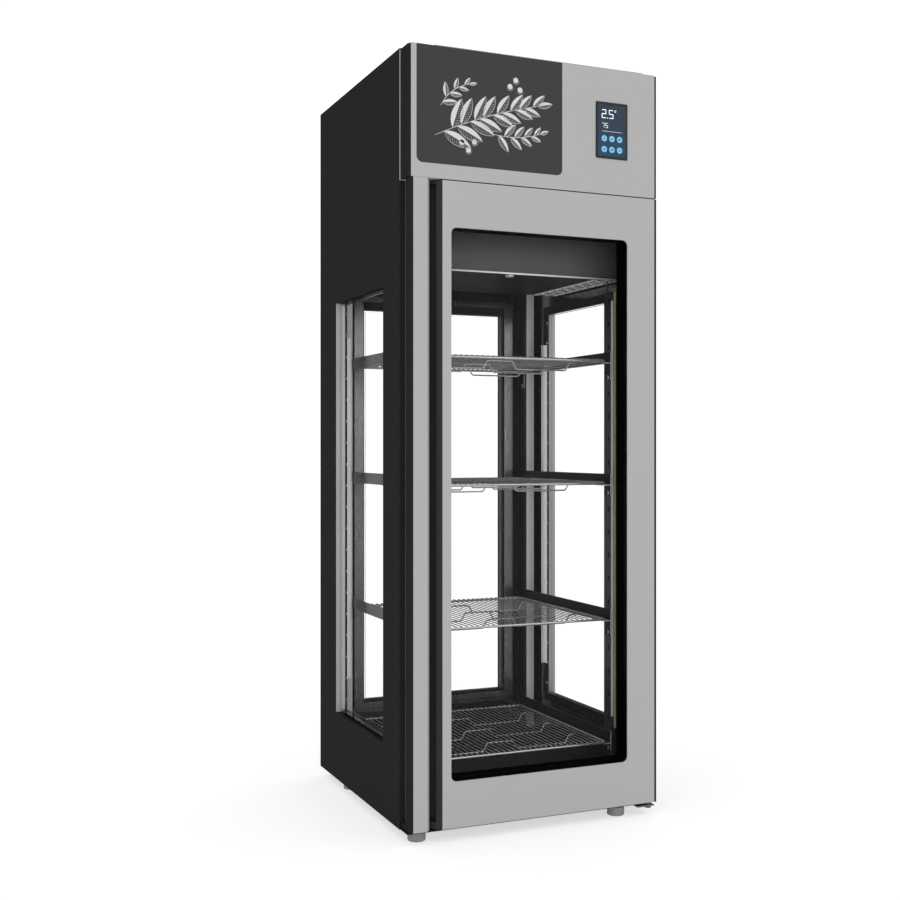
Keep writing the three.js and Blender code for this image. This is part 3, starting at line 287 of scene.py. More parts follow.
# Screws, with profiles in shares of the head's or socket's radius and the head's height
SCREW_DIAMETER = 9.0 * MM
SCREW_HEIGHT = 2.0 * MM
SCREW_SOCKET = 4.0 * MM
SCREW_EDGE_INSET = 14.0 * MM
SCREW_GAP = 0.05 * MM
SCREW_COLUMNS = 4
SCREW_FACES = 20
SCREW_PROFILE = ((0.98, 0), (1, 0.3), (0.8, 0.85), (0.55, 1))
SOCKET_PROFILE = ((1, 1), (1, 0.4), (CENTRE_SHARE, 0.4))

# Nut of the lower hinge
NUT_WIDTH = 17.0 * MM
NUT_HEIGHT = 7.0 * MM
NUT_SIDES = 6

# Pins of the mains inlet, set back behind the face of the rear wall
PIN_WIDTH = 2.2 * MM
PIN_HEIGHT = 7.0 * MM
PIN_PITCH = 7.5 * MM
PIN_FOOT_DEPTH = 11.5 * MM
PIN_TIP_DEPTH = 2.0 * MM
INLET_SIDE_INSET = 75.5 * MM
INLET_RISE = 65.0 * MM

# Points in a quarter turn of a rounded corner
CORNER_STEPS = 5


def linear(code):
    """Linear colour from a hexadecimal sRGB code."""
    values = [int(code[i:i + 2], 16) / 255 for i in (0, 2, 4)]
    shares = [v / 12.92 if v <= 0.04045 else ((v + 0.055) / 1.055) ** 2.4 for v in values]
    return (*shares, 1.0)


def shade(code, share):
    """A colour made lighter or darker by a share."""
    red, green, blue, alpha = linear(code)
    return (red * share, green * share, blue * share, alpha)


def grey(value):
    """Grey of a linear value."""
    return (value, value, value, 1.0)


class NodeTree:
    """Short calls for the nodes of a material or of the surroundings."""

    def __init__(self, tree):
        self.tree = tree

    def node(self, kind, **settings):
        """A new node with its settings."""
        made = self.tree.nodes.new(kind)
        for key, value in settings.items():
            setattr(made, key, value)
        return made

    def feed(self, socket, value):
        """Gives an input a plain value, or links it to an output."""
        if isinstance(value, (int, float, tuple)):
            socket.default_value = value
        else:
            self.tree.links.new(value, socket)

    def put(self, made, **values):
        """Feeds inputs of a node, with an underscore for each space of their names."""
        for key, value in values.items():
            self.feed(made.inputs[key.replace("_", " ")], value)
        return made

    def math(self, operation, *values):
        """Result of an operation on one or two values."""
        made = self.node("ShaderNodeMath", operation=operation)
        for socket, value in zip(made.inputs, values):
            self.feed(socket, value)
        return made.outputs[0]

    def blend(self, share, first, second):
        """Colour between two colours."""
        made = self.node("ShaderNodeMix", data_type="RGBA")
        self.feed(made.inputs["Factor"], share)
        self.feed(made.inputs[MIX_FIRST], first)
        self.feed(made.inputs[MIX_SECOND], second)
        return made.outputs[MIX_RESULT]

    def split(self, vector):
        """The three parts of a vector."""
        made = self.node("ShaderNodeSeparateXYZ")
        self.feed(made.inputs[0], vector)
        return made.outputs[0], made.outputs[1], made.outputs[2]


class Finish(NodeTree):
    """A material with a Principled shader."""

    def __init__(self, name):
        self.material = bpy.data.materials.new(name)
        self.material.use_nodes = True
        super().__init__(self.material.node_tree)
        self.shader = self.tree.nodes["Principled BSDF"]
        self.coords = self.node("ShaderNodeTexCoord").outputs["Object"]

    def look(self, **values):
        """Feeds the shader and gives back the finish."""
        self.put(self.shader, **values)
        return self

    def axes(self):
        """Place along X, Y and Z."""
        return self.split(self.coords)

    def normals(self):
        """Direction of the face along X, Y and Z."""
        return self.split(self.node("ShaderNodeTexCoord").outputs["Normal"])

    def size(self, value):
        """A value without its sign."""
        return self.math("ABSOLUTE", value)

    def below(self, value, limit):
        """One below a limit, or else nought."""
        return self.math("LESS_THAN", value, limit)

    def above(self, value, limit):
        """One above a limit, or else nought."""
        return self.math("GREATER_THAN", value, limit)

    def every(self, first, *others):
        """Product of shares, which is one where all of them are."""
        for other in others:
            first = self.math("MULTIPLY", first, other)
        return first

    def less(self, start, share, amount):
        """A start value, less an amount where the share is one."""
        return self.math("SUBTRACT", start, self.math("MULTIPLY", share, amount))

    def noise(self, scale, detail, stretch=(1, 1, 1)):
        """Fine or coarse pattern, which can be drawn out along an axis."""
        mapping = self.put(self.node("ShaderNodeMapping"), Scale=stretch, Vector=self.coords)
        made = self.put(self.node("ShaderNodeTexNoise"), Scale=scale, Detail=detail)
        self.put(made, Vector=mapping.outputs["Vector"])
        return made.outputs["Fac"]

    def cloud(self, stretch=(1, 1, 1)):
        """Coarse pattern of sheet metal."""
        return self.noise(CLOUD_SCALE, CLOUD_DETAIL, stretch)

    def drift(self, pattern, code, vary):
        """A colour that a pattern makes lighter and darker by a share."""
        return self.blend(pattern, shade(code, 1 - vary), shade(code, 1 + vary))

    def spread(self, value, low, high):
        """Maps the middle of a noise to a range of values."""
        made = self.put(self.node("ShaderNodeMapRange"), From_Min=NOISE_LOW, From_Max=NOISE_HIGH)
        self.put(made, To_Min=low, To_Max=high, Value=value)
        return made.outputs["Result"]

    def around(self, value, middle, reach):
        """Maps the middle of a noise to values on both sides of one."""
        return self.spread(value, middle - reach, middle + reach)

    def bump(self, height, strength):
        """Raises the surface a little by a pattern."""
        made = self.put(self.node("ShaderNodeBump"), Strength=strength, Distance=BUMP_HEIGHT, Height=height)
        return self.look(Normal=made.outputs["Normal"])


def sheet_finish(name, code, metallic, roughness, level=0.5, vary=0.04, grain=(1, 1, 1), bump=0.0):
    """Coated or brushed sheet with a fine grain and a slight cloudiness."""
    finish = Finish(name)
    fine = finish.noise(GRAIN_SCALE, 2.0, grain)
    colour = finish.drift(finish.cloud(), code, vary)
    finish.look(Base_Color=colour, Roughness=finish.around(fine, roughness, SHEET_GRAIN))
    if bump:
        finish.bump(fine, bump)
    return finish.look(Metallic=metallic, Specular_IOR_Level=level)


def silver_finish(name):
    """Silver sheet of the front."""
    return sheet_finish(name, SILVER_CODE, 0.12, 0.5, 0.3, 0.01, (1, 1, 0.04), SHEET_BUMP)


def header_finish():
    """The silver sheet, with its left flange coated dark but for a strip along the rear edge."""
    finish = silver_finish("header_sheet")
    silver_colour = finish.shader.inputs["Base Color"].links[0].from_socket
    x, y, z = finish.axes()
    coated = finish.every(finish.below(x, -HEADER_COAT_START), finish.below(y, HEADER_STRIP_START))
    return finish.look(Base_Color=finish.blend(coated, silver_colour, linear(CAP_CODE))).material


def rack_finish(name, web_code, inner_shade_code, lip_start):
    """Stainless section with a painted highlight, near white, on its lips to front and rear, and a colour of
    its own on faces towards the shelves, which is painted shade where it is darker.
    """
    finish = Finish(name)
    x = finish.axes()[0]
    facing_x, facing_y, facing_z = finish.normals()
    # Painted highlight on the lips; painted shade on the inward faces where the inner colour is darker
    lip = finish.every(finish.above(finish.size(facing_y), FACING), finish.above(finish.size(x), lip_start))
    inner = finish.below(finish.every(x, facing_x), INNER_FACE_LIMIT)
    cloud = finish.cloud((1, 1, 0.3))
    web = finish.blend(inner, finish.drift(cloud, web_code, 0.1), finish.drift(cloud, inner_shade_code, 0.1))
    finish.look(Base_Color=finish.blend(lip, web, finish.drift(cloud, "efefef", 0.03)))
    return finish.look(Metallic=finish.less(0.95, lip, 0.9), Roughness=0.28, Specular_IOR_Level=0.5).material


def duct_finish():
    """Satin sheet, painted lighter on the front of the duct as painted light and darker on its underside and
    other faces as painted shade.
    """
    finish = Finish("duct_steel")
    front = finish.below(finish.normals()[1], -FACING)
    cloud = finish.cloud()
    # Painted shade on the underside and other faces, painted light on the front
    under = finish.drift(cloud, "363636", 0.04)
    face = finish.drift(cloud, "626262", 0.04)
    finish.look(Base_Color=finish.blend(front, under, face), Metallic=finish.less(0.9, front, 0.4))
    return finish.look(Roughness=0.42, Specular_IOR_Level=0.2, Specular_Tint=grey(DUCT_TINT)).material


def lined_finish():
    """Black coated sheet outside, stainless steel on the faces of the compartment, darker on its floor; the
    rear wall round its window is painted in the black coat as painted shade.
    """
    finish = Finish("lined_sheet")
    x, y, z = finish.axes()
    room = finish.every(finish.below(finish.size(x), LINER_HALF_WIDTH), finish.below(y, LINER_REAR_Y),
                        finish.above(z, LINER_BOTTOM_Z), finish.below(z, LINER_TOP_Z))
    # Painted shade: the rear wall round its window takes the black coat instead of steel
    shade_band = finish.every(finish.above(y, LINER_BAND_Y), finish.above(z, LINER_BAND_BOTTOM_Z),
                        finish.below(z, LINER_BAND_TOP_Z))
    inside = finish.every(room, finish.math("SUBTRACT", 1.0, shade_band))
    low_part = finish.below(z, LINER_LOW_Z)
    cloud = finish.cloud()
    steel = finish.blend(low_part, finish.drift(cloud, "969696", 0.06), linear("2c2a2a"))
    finish.look(Base_Color=finish.blend(inside, finish.drift(cloud, COAT_CODE, 0.05), steel))
    polished = finish.math("MAXIMUM", finish.less(inside, low_part, LINER_LOW_DULLNESS), 0.0)
    brushed = finish.noise(300.0, 2.0, (1, 1, 0.03))
    rough = finish.math("ADD", finish.less(0.62, polished, 0.42), finish.spread(brushed, -0.01, 0.01))
    return finish.look(Metallic=polished, Roughness=rough, Specular_IOR_Level=0.05).material


def plastic_finish(name, code, roughness, level):
    """Plastic with a fine grain."""
    finish = Finish(name)
    fine = finish.noise(900.0, 2.0)
    colour = finish.drift(finish.noise(5.0, 3.0), code, 0.08)
    finish.look(Base_Color=colour, Roughness=finish.around(fine, roughness, PLASTIC_GRAIN))
    return finish.bump(fine, 0.02).look(Specular_IOR_Level=level).material


def panel_finish():
    """Dark grey face of the header panel."""
    finish = Finish("panel_grey")
    fine = finish.noise(700.0, 2.0)
    colour = finish.blend(finish.noise(2.2, 2.0), shade("3c3c3c", 0.96), shade("3c3c3c", 1.05))
    finish.look(Base_Color=colour, Roughness=finish.spread(fine, 0.34, 0.42))
    return finish.bump(fine, 0.03).look(Specular_IOR_Level=0.2).material


def screen_finish():
    """Dark glass that fades from slate at the top to blue at the foot."""
    finish = Finish("screen")
    low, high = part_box("display_screen")
    height = finish.math("SUBTRACT", finish.axes()[2], low.z)
    share = finish.math("DIVIDE", height, high.z - low.z)
    glow = finish.blend(share, linear("173a50"), linear("232f39"))
    patches = finish.spread(finish.noise(30.0, 2.0), 0.0, 0.25)
    tint = finish.blend(patches, glow, linear("101c24"))
    finish.look(Base_Color=tint, Emission_Color=tint, Emission_Strength=0.35)
    return finish.look(Roughness=0.12, Specular_IOR_Level=0.4).material


def glass_finish(name, thin_axis, bright_axis, spacer_code, spacer_share=0.99):
    """Clear pane; its spacer takes the given colour on the faces along one axis, a painted highlight where
    that colour is light, and near black on the others as painted shade.
    """
    finish = Finish(name)
    normals = finish.normals()
    spacer = finish.below(finish.size(normals[thin_axis]), FACING)
    facing = finish.above(finish.size(normals[bright_axis]), FACING)
    # Painted light and shade of one spacer, chosen by the direction of its faces
    spacer_light_and_shade = finish.blend(facing, linear("141414"), linear(spacer_code))
    colour = finish.blend(spacer, linear("c8d2ca"), spacer_light_and_shade)
    cover = finish.math("ADD", 0.004, finish.every(spacer, spacer_share))
    haze = finish.spread(finish.noise(8.0, 2.0), 0.015, 0.04)
    return finish.look(Base_Color=colour, Alpha=cover, Roughness=haze, Specular_IOR_Level=0.5).material


def light_finish(name, code, strength, roughness=0.4):
    """Face that gives a little light of its own, or a print if it gives none; on the glass pane edge this
    light is painted light, as it is no lamp.
    """
    finish = Finish(name)
    fine = finish.noise(200.0, 2.0)
    colour = finish.blend(fine, shade(code, 0.96), linear(code))
    finish.look(Base_Color=colour, Emission_Color=colour, Emission_Strength=strength)
    return finish.look(Roughness=finish.around(fine, roughness, PLASTIC_GRAIN)).material


def fin_finish(name, code, warm):
    """Aluminium fins with warmer tube ends in horizontal rows."""
    finish = Finish(name)
    wave = finish.node("ShaderNodeTexWave", wave_type="BANDS", bands_direction="Z")
    finish.put(wave, Scale=12.0, Distortion=0.0, Vector=finish.coords)
    rows = finish.above(wave.outputs["Fac"], 0.86)
    cloud = finish.noise(40.0, 3.0)
    metal = finish.blend(cloud, shade(code, 0.85), shade(code, 1.1))
    colour = finish.blend(rows, metal, linear(warm))
    return finish.look(Base_Color=colour, Roughness=finish.spread(cloud, 0.3, 0.45), Metallic=0.9).material


def compressor_finish():
    """Black paint on a pressed shell."""
    finish = Finish("compressor_black")
    fine = finish.noise(260.0, 3.0)
    colour = finish.blend(fine, linear("141416"), linear("202024"))
    finish.look(Base_Color=colour, Roughness=finish.spread(fine, 0.3, 0.42))
    return finish.bump(fine, 0.1).look(Specular_IOR_Level=0.5, Coat_Weight=0.2).material


def floor_finish():
    """White floor, which shiny faces mirror darker."""
    finish = Finish("studio_floor")
    mirrored = finish.node("ShaderNodeLightPath").outputs["Is Glossy Ray"]
    seen = finish.blend(finish.noise(0.6, 2.0), grey(0.44), grey(0.48))
    colour = finish.blend(mirrored, seen, grey(0.12))
    glow = finish.blend(mirrored, grey(1.0), grey(0.15))
    finish.look(Base_Color=colour, Emission_Color=glow, Emission_Strength=0.62)
    return finish.look(Roughness=0.9, Specular_IOR_Level=0.0).material


# Coated sheet
silver = silver_finish("silver_sheet").material
header_silver = header_finish()
black_sheet = sheet_finish("black_sheet", COAT_CODE, 0.0, 0.62, 0.05, 0.05, bump=SHEET_BUMP).material
lined_sheet = lined_finish()
panel_grey = panel_finish()

# Plastic and rubber
black_plastic = plastic_finish("black_plastic", "101010", 0.42, 0.12)
gloss_black = plastic_finish("gloss_black", "060606", 0.2, 0.08)
soft_black = plastic_finish("soft_black", "333333", 0.5, 0.2)
side_black = plastic_finish("side_black", CAP_CODE, 0.6, 0.05)
rubber = plastic_finish("gasket_rubber", "101010", 0.75, 0.2)

# Glass
screen_glass = screen_finish()
side_glass = glass_finish("side_glass", 0, 1, "c0c0c0")
rear_glass = glass_finish("rear_glass", 1, 0, "8c8c8c", 0.4)
door_glass = glass_finish("door_glass", 1, 0, "0c0c0c")

# Steel and other metal
bright_steel = sheet_finish("bright_steel", "c4c4c4", 1.0, 0.2, vary=0.06, grain=(1, 1, 0.03)).material
satin_steel = sheet_finish("satin_steel", "a2a2a2", 1.0, 0.26, vary=0.06, grain=(1, 1, 0.03)).material
turned_steel = sheet_finish("turned_steel", SILVER_CODE, 0.6, 0.28, vary=0.06, grain=(1, 1, 0.2)).material
mesh_steel = sheet_finish("mesh_steel", "bababa", 0.8, 0.18, grain=(1, 0.1, 1)).material
wire_steel = sheet_finish("wire_steel", "ececec", 0.8, 0.16, grain=(1, 0.1, 1)).material
edge_steel = sheet_finish("edge_steel", "c8c8c8", 0.25, 0.35).material
hem_steel = sheet_finish("hem_steel", "fafafa", 0.05, 0.3).material
zinc = sheet_finish("zinc_sheet", "8c8e90", 0.8, 0.38, vary=0.12, bump=SHEET_BUMP).material
duct_steel = duct_finish()
# Runners' inward faces painted dark as painted shade; lips of uprights and runners painted bright as a
# painted highlight
rack_steel = rack_finish("rack_steel", "646464", "646464", RACK_LIP_START)
runner_steel = rack_finish("runner_steel", "a8a8a8", "343434", 0.0)
fins = fin_finish("fin_aluminium", "b4b7ba", "a06a48")
condenser_metal = fin_finish("condenser_metal", "8f8f8f", "8a5638")
compressor_black = compressor_finish()

# Light and print
diffuser = light_finish("light_diffuser", "c9c9c9", 0.08)
print_white = light_finish("print_white", "d6d6d6", 0.0, 0.5)
icon_blue = light_finish("icon_blue", "6fb4d4", 0.35)
icon_white = light_finish("icon_white", "e6eef2", 0.6)
# Glow of the green glass edge, which is no lamp: painted light
pane_edge_glow = light_finish("pane_edge_glow", "92946a", 0.18, 0.3)


def soften(obj, width=EDGE_SOFTNESS):
    """Small rounding of the edges, so that they catch the light."""
    weld = obj.modifiers.new("weld", "WELD")
    weld.merge_threshold = WELD_DISTANCE
    bevel = obj.modifiers.new("edges", "BEVEL")
    bevel.width = width
    bevel.segments = 2
    bevel.limit_method = "ANGLE"
    bevel.angle_limit = EDGE_ANGLE
    bevel.harden_normals = False


def dress(names, material, softness=EDGE_SOFTNESS):
    """Gives CAD nodes their material and soft edges, unless the softness is None."""
    for name in names:
        node = nodes[name]
        node.data.materials.clear()
        node.data.materials.append(material)
        if softness:
            soften(node, softness)


# Walls, frames and windows
dress(["left_wall", "right_wall", "rear_wall"], lined_sheet, FRAME_SOFTNESS)
dress(["base_floor", "compartment_ceiling"], lined_sheet, FRAME_SOFTNESS)
dress(["machine_rear_cover"], black_sheet)
dress(["front_frame"], gloss_black)
dress(["left_window_frame", "right_window_frame"], black_plastic)
dress(["rear_window_frame"], satin_steel, FRAME_SOFTNESS)
dress(["left_glazing", "right_glazing"], side_glass, None)
dress(["rear_glazing"], rear_glass, None)

# Front, header and door
dress(["front_post", "door_skin", "roof_cover"], silver)
dress(["header_fascia"], header_silver)
dress(["header_right_trim", "door_trim", "door_grip"], soft_black)
dress(["post_trim", "header_left_cap"], side_black)
dress(["graphics_panel"], panel_grey, None)
dress(["display_bezel"], soft_black)
dress(["door_core"], gloss_black)
dress(["door_glazing"], door_glass, None)
dress(["door_gasket"], rubber)
dress(["hinge_plate_lower", "hinge_plate_upper"], zinc)

# Fittings of the compartment
dress(["air_duct_cover"], duct_steel)
dress([f"rack_upright_{end}_{side}" for end in ENDS for side in SIDES], rack_steel, None)
dress([f"runner_{row}_{side}" for row in SHELF_ROWS for side in SIDES], runner_steel, None)
dress([f"light_bar_{side}" for side in SIDES], diffuser)

# Cooling
dress(["evaporator_coil"], fins, None)
dress(["evaporator_fan", "evaporator_fan_guard"], black_plastic, None)
dress(["condenser"], condenser_metal, None)
dress(["condenser_fan"], zinc, None)
dress(["compressor"], compressor_black, None)
dress(["electrical_box"], zinc)


def add_object(name, data):
    """New object of the scene."""
    obj = bpy.data.objects.new(name, data)
    scene.collection.objects.link(obj)
    return obj


def mesh_object(name, mesh, material):
    """Turns a bmesh into an object."""
    data = bpy.data.meshes.new(name)
    mesh.to_mesh(data)
    mesh.free()
    data.materials.append(material)
    return add_object(name, data)


def finish_piece(name, mesh, material, body="cabinet", smooth=False):
    """Turns a bmesh into a piece that rides on a body."""
    bmesh.ops.recalc_face_normals(mesh, faces=mesh.faces)
    obj = mesh_object(name, mesh, material)
    if smooth:
        obj.data.polygons.foreach_set("use_smooth", [True] * len(obj.data.polygons))
    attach(obj, body)
    return obj


def join_rings(mesh, first, second):
    """Faces between two rings of as many points."""
    count = len(first)
    for k in range(count):
        after = (k + 1) % count
        mesh.faces.new((first[k], first[after], second[after], second[k]))


def close_ends(mesh, rings):
    """Faces over the first and the last of a row of rings."""
    mesh.faces.new(rings[0])
    mesh.faces.new(list(reversed(rings[-1])))


def sweep(mesh, path, radius, normal, faces, closed=False):
    """Round wire along a flat path, mitred at its corners; normal stands across the path's plane."""
    points = [Vector(p) for p in path]
    count = len(points)
    normal = Vector(normal).normalized()
    rings = []
    for i, point in enumerate(points):
        before = points[i - 1] if i > 0 or closed else None
        after = points[(i + 1) % count] if i < count - 1 or closed else None
        arrive = (point - before).normalized() if before else (after - point).normalized()
        leave = (after - point).normalized() if after else arrive
        along = (arrive + leave).normalized()
        across = along.cross(normal)
        stretch = 1 / max(along.dot(leave), MITRE_LIMIT)
        ring = []
        for k in range(faces):
            angle = 2 * math.pi * k / faces
            offset = normal * math.cos(angle) + across * math.sin(angle) * stretch
            ring.append(mesh.verts.new(point + offset * radius))
        rings.append(ring)
    for first, second in zip(rings, rings[1:]):
        join_rings(mesh, first, second)
    if closed:
        join_rings(mesh, rings[-1], rings[0])
    else:
        close_ends(mesh, rings)


def lathe(mesh, profile, centre, axis, faces):
    """Round body from radius and height pairs about an upright axis or one along Y, through a centre."""
    rings = []
    for radius, height in profile:
        ring = []
        for k in range(faces):
            angle = 2 * math.pi * k / faces
            u, v = radius * math.cos(angle), radius * math.sin(angle)
            local = (u, v, height) if axis == "Z" else (u, height, v)
            ring.append(mesh.verts.new(Vector(centre) + Vector(local)))
        rings.append(ring)
    for first, second in zip(rings, rings[1:]):
        join_rings(mesh, first, second)
    close_ends(mesh, rings)


def slab(mesh, outline, depth_axis, start, end):
    """Flat outline of two coordinates, thickened along Y or Z."""
    def corner(u, v, w):
        return (u, w, v) if depth_axis == "Y" else (u, v, w)
    low = [mesh.verts.new(corner(u, v, start)) for u, v in outline]
    high = [mesh.verts.new(corner(u, v, end)) for u, v in outline]
    mesh.faces.new(low)
    mesh.faces.new(list(reversed(high)))
    for i in range(len(outline)):
        j = (i + 1) % len(outline)
        mesh.faces.new((low[i], high[i], high[j], low[j]))


def flat_ring(mesh, outer, inner, start, end):
    """Ring in the X-Z plane between two outlines of as many points, thickened along Y."""
    outer_near, outer_far, inner_near, inner_far = [
        [mesh.verts.new((u, y, v)) for u, v in outline] for outline in (outer, inner) for y in (start, end)]
    loops = (outer_near, inner_near, inner_far, outer_far)
    count = len(outer)
    for i in range(count):
        j = (i + 1) % count
        for k, a in enumerate(loops):
            b = loops[(k + 1) % len(loops)]
            mesh.faces.new((a[i], a[j], b[j], b[i]))


def stroke(mesh, points, width, layer, taper=0.0):
    """Drawn line in the X-Z plane, as thick along Y as its layer; taper thins both ends."""
    flat = [Vector(p) for p in points]
    last = len(flat) - 1
    left, right = [], []
    for i, point in enumerate(flat):
        along = (flat[min(i + 1, last)] - flat[max(i - 1, 0)]).normalized()
        across = Vector((-along.y, along.x))
        half = width / 2 * (1 - taper * abs(2 * i / last - 1) ** 2)
        left.append(point + across * half)
        right.append(point - across * half)
    slab(mesh, [(p.x, p.y) for p in left + right[::-1]], "Y", *layer)


def straight(mesh, start, end, width, layer, taper=0.0):
    """Straight drawn line."""
    first, last = Vector(start), Vector(end)
    stroke(mesh, [first, (first + last) / 2, last], width, layer, taper)


def rectangle(a0, a1, b0, b1):
    """Outline of a rectangle."""
    return [(a0, b0), (a1, b0), (a1, b1), (a0, b1)]


def rounded(x0, x1, z0, z1, radius):
    """Outline of a rectangle with round corners."""
    corners = [(x1 - radius, z0 + radius, -90), (x1 - radius, z1 - radius, 0),
               (x0 + radius, z1 - radius, 90), (x0 + radius, z0 + radius, 180)]
    outline = []
    for cx, cz, turn in corners:
        for i in range(CORNER_STEPS + 1):
            angle = math.radians(turn + 90 * i / CORNER_STEPS)
            outline.append((cx + radius * math.cos(angle), cz + radius * math.sin(angle)))
    return outline


def circle(cx, cz, radius, faces=28):
    """Outline of a circle."""
    angles = [2 * math.pi * i / faces for i in range(faces)]
    return [(cx + radius * math.cos(a), cz + radius * math.sin(a)) for a in angles]


def heading(angle):
    """Flat direction of an angle."""
    return Vector((math.cos(angle), math.sin(angle)))


def smooth_corners(path, cut):
    """Replaces each inner corner of a path by two points a short way before and after it."""
    points = [Vector(p) for p in path]
    result = [points[0]]
    for before, point, after in zip(points, points[1:], points[2:]):
        result.append(point + (before - point).normalized() * cut)
        result.append(point + (after - point).normalized() * cut)
    result.append(points[-1])
    return result


def on_side(side, first, second):
    """Two places along X of the right side or their mirror image on the left, in rising order."""
    return sorted((SIDES[side] * first, SIDES[side] * second))


def wire_field(node, low, high, level):
    """Thin wires from the front of a shelf to its rear."""
    rail = RAIL_DIAMETER / 2
    x0, x1 = low.x + rail, high.x - rail
    count = int((x1 - x0 - WIRE_PITCH) / WIRE_PITCH) + 1
    start = (x0 + x1) / 2 - (count - 1) * WIRE_PITCH / 2
    mesh = bmesh.new()
    for i in range(count):
        x = start + i * WIRE_PITCH
        ends = [(x, low.y + WIRE_END_INSET, level), (x, high.y - WIRE_END_INSET, level)]
        sweep(mesh, ends, WIRE_DIAMETER / 2, UPWARD, WIRE_FACES)
    finish_piece(f"wires_{node}", mesh, mesh_steel, f"{node}_body", smooth=True)


def wire_frame(node, low, high, under):
    """Rail frame of a shelf and three cranked wires, all below the field of thin wires."""
    rail = RAIL_DIAMETER / 2
    outline = rounded(low.x + rail, high.x - rail, low.y + rail, high.y - rail, RAIL_CORNER)
    mesh = bmesh.new()
    sweep(mesh, [(x, y, under - rail) for x, y in outline], rail, UPWARD, RAIL_FACES, True)
    crank = CRANK_DIAMETER / 2
    top = under - crank
    dip = low.z + crank
    outer = high.x - CRANK_OUTER_INSET
    half = [(CRANK_INNER, top), (CRANK_INNER + CRANK_RUN, dip), (outer, dip), (outer + CRANK_RUN, top),
            (high.x - CRANK_END_INSET, top)]
    path = [(-x, z) for x, z in reversed(half)] + half
    middle = (low.y + high.y) / 2
    for offset in (-CRANK_PITCH, 0, CRANK_PITCH):
        points = smooth_corners([(x, middle + offset, z) for x, z in path], CRANK_BEND)
        sweep(mesh, points, crank, REARWARD, WIRE_FACES)
    obj = finish_piece(f"wire_{node}", mesh, wire_steel, f"{node}_body", smooth=True)
    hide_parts(node)


def wire_shelf(row):
    """A shelf of round wire."""
    node = f"shelf_{row}"
    low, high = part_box(node)
    level = high.z - WIRE_DIAMETER / 2
    wire_field(node, low, high, level)
    wire_frame(node, low, high, level - WIRE_DIAMETER / 2)


def duct_grille(side):
    """Expanded metal grille under one side of the duct."""
    low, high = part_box("air_duct_cover")
    outer = high.x - GRILLE_SIDE_INSET
    inner = outer - GRILLE_WIDTH
    y0, y1 = low.y + GRILLE_END_INSET, high.y - GRILLE_END_INSET
    top = low.z - PIECE_GAP
    bottom = top - GRILLE_THICKNESS
    steps = int((y1 - y0) / GRILLE_CELL_LENGTH) * 2
    places = [y0 + (y1 - y0) * k / steps for k in range(steps + 1)]
    half = GRILLE_STRAND / 2
    swing = (GRILLE_CELL_WIDTH - GRILLE_STRAND) / 2
    mesh = bmesh.new()
    for i in range(int(GRILLE_WIDTH / GRILLE_CELL_WIDTH)):
        base = inner + (i + 0.5) * GRILLE_CELL_WIDTH
        for k, (ya, yb) in enumerate(zip(places, places[1:])):
            lean = -swing if (i + k) % 2 else swing
            xa, xb = SIDES[side] * (base - lean), SIDES[side] * (base + lean)
            quad = [(xa - half, ya), (xa + half, ya), (xb + half, yb), (xb - half, yb)]
            slab(mesh, quad, "Z", bottom, top)
    for edge in (inner - GRILLE_STRAND, outer):
        xs = on_side(side, edge, edge + GRILLE_STRAND)
        slab(mesh, rectangle(*xs, y0, y1), "Z", bottom, top)
    finish_piece(f"duct_grille_{side}", mesh, hem_steel)


def duct_knob():
    """Knob that holds the duct cover."""
    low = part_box("air_duct_cover")[0]
    radius = KNOB_DIAMETER / 2
    edge = KNOB_HEIGHT * KNOB_EDGE_SHARE
    profile = [(radius * KNOB_TOP_SHARE, 0), (radius, 0), (radius, -KNOB_HEIGHT + edge),
               (radius - edge, -KNOB_HEIGHT), (radius * KNOB_DISH_SHARE, -KNOB_HEIGHT)]
    mesh = bmesh.new()
    lathe(mesh, profile, (KNOB_X, low.y + KNOB_FRONT_INSET, low.z - PIECE_GAP), "Z", KNOB_FACES)
    finish_piece("duct_knob", mesh, edge_steel)


def duct_hem():
    """Rounded hem along the duct's lower front edge."""
    low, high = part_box("air_duct_cover")
    radius = HEM_DIAMETER / 2
    y, z = low.y - radius, low.z + radius
    mesh = bmesh.new()
    sweep(mesh, [(low.x, y, z), (high.x, y, z)], radius, UPWARD, RAIL_FACES)
    finish_piece("duct_hem", mesh, hem_steel, smooth=True)


def pane_edge(side):
    """Green edge of a glass strip in front of a side window, glowing as painted light."""
    low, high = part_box("right_window_frame")
    outer = low.x - PIECE_GAP
    xs = on_side(side, outer - PANE_EDGE_THICKNESS, outer)
    start = low.y - PANE_EDGE_LEAD
    mesh = bmesh.new()
    slab(mesh, rectangle(*xs, low.z, high.z), "Y", start, start + PANE_EDGE_DEPTH)
    obj = finish_piece(f"pane_edge_{side}", mesh, pane_edge_glow)
    soften(obj)


def slot_shade_strip(end, side):
    """Dark strip inside an upright, behind its slots, as painted shade."""
    low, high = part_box(f"rack_upright_{end}_{side}")
    way = SIDES[side]
    web = low.x if way > 0 else high.x
    xs = sorted((web + way * BACKING_GAP, web + way * (BACKING_GAP + BACKING_THICKNESS)))
    outline = rectangle(*xs, low.y + BACKING_EDGE, high.y - BACKING_EDGE)
    mesh = bmesh.new()
    slab(mesh, outline, "Z", low.z + BACKING_EDGE, high.z - BACKING_TOP_INSET)
    finish_piece(f"slot_shade_strip_{end}_{side}", mesh, black_plastic)


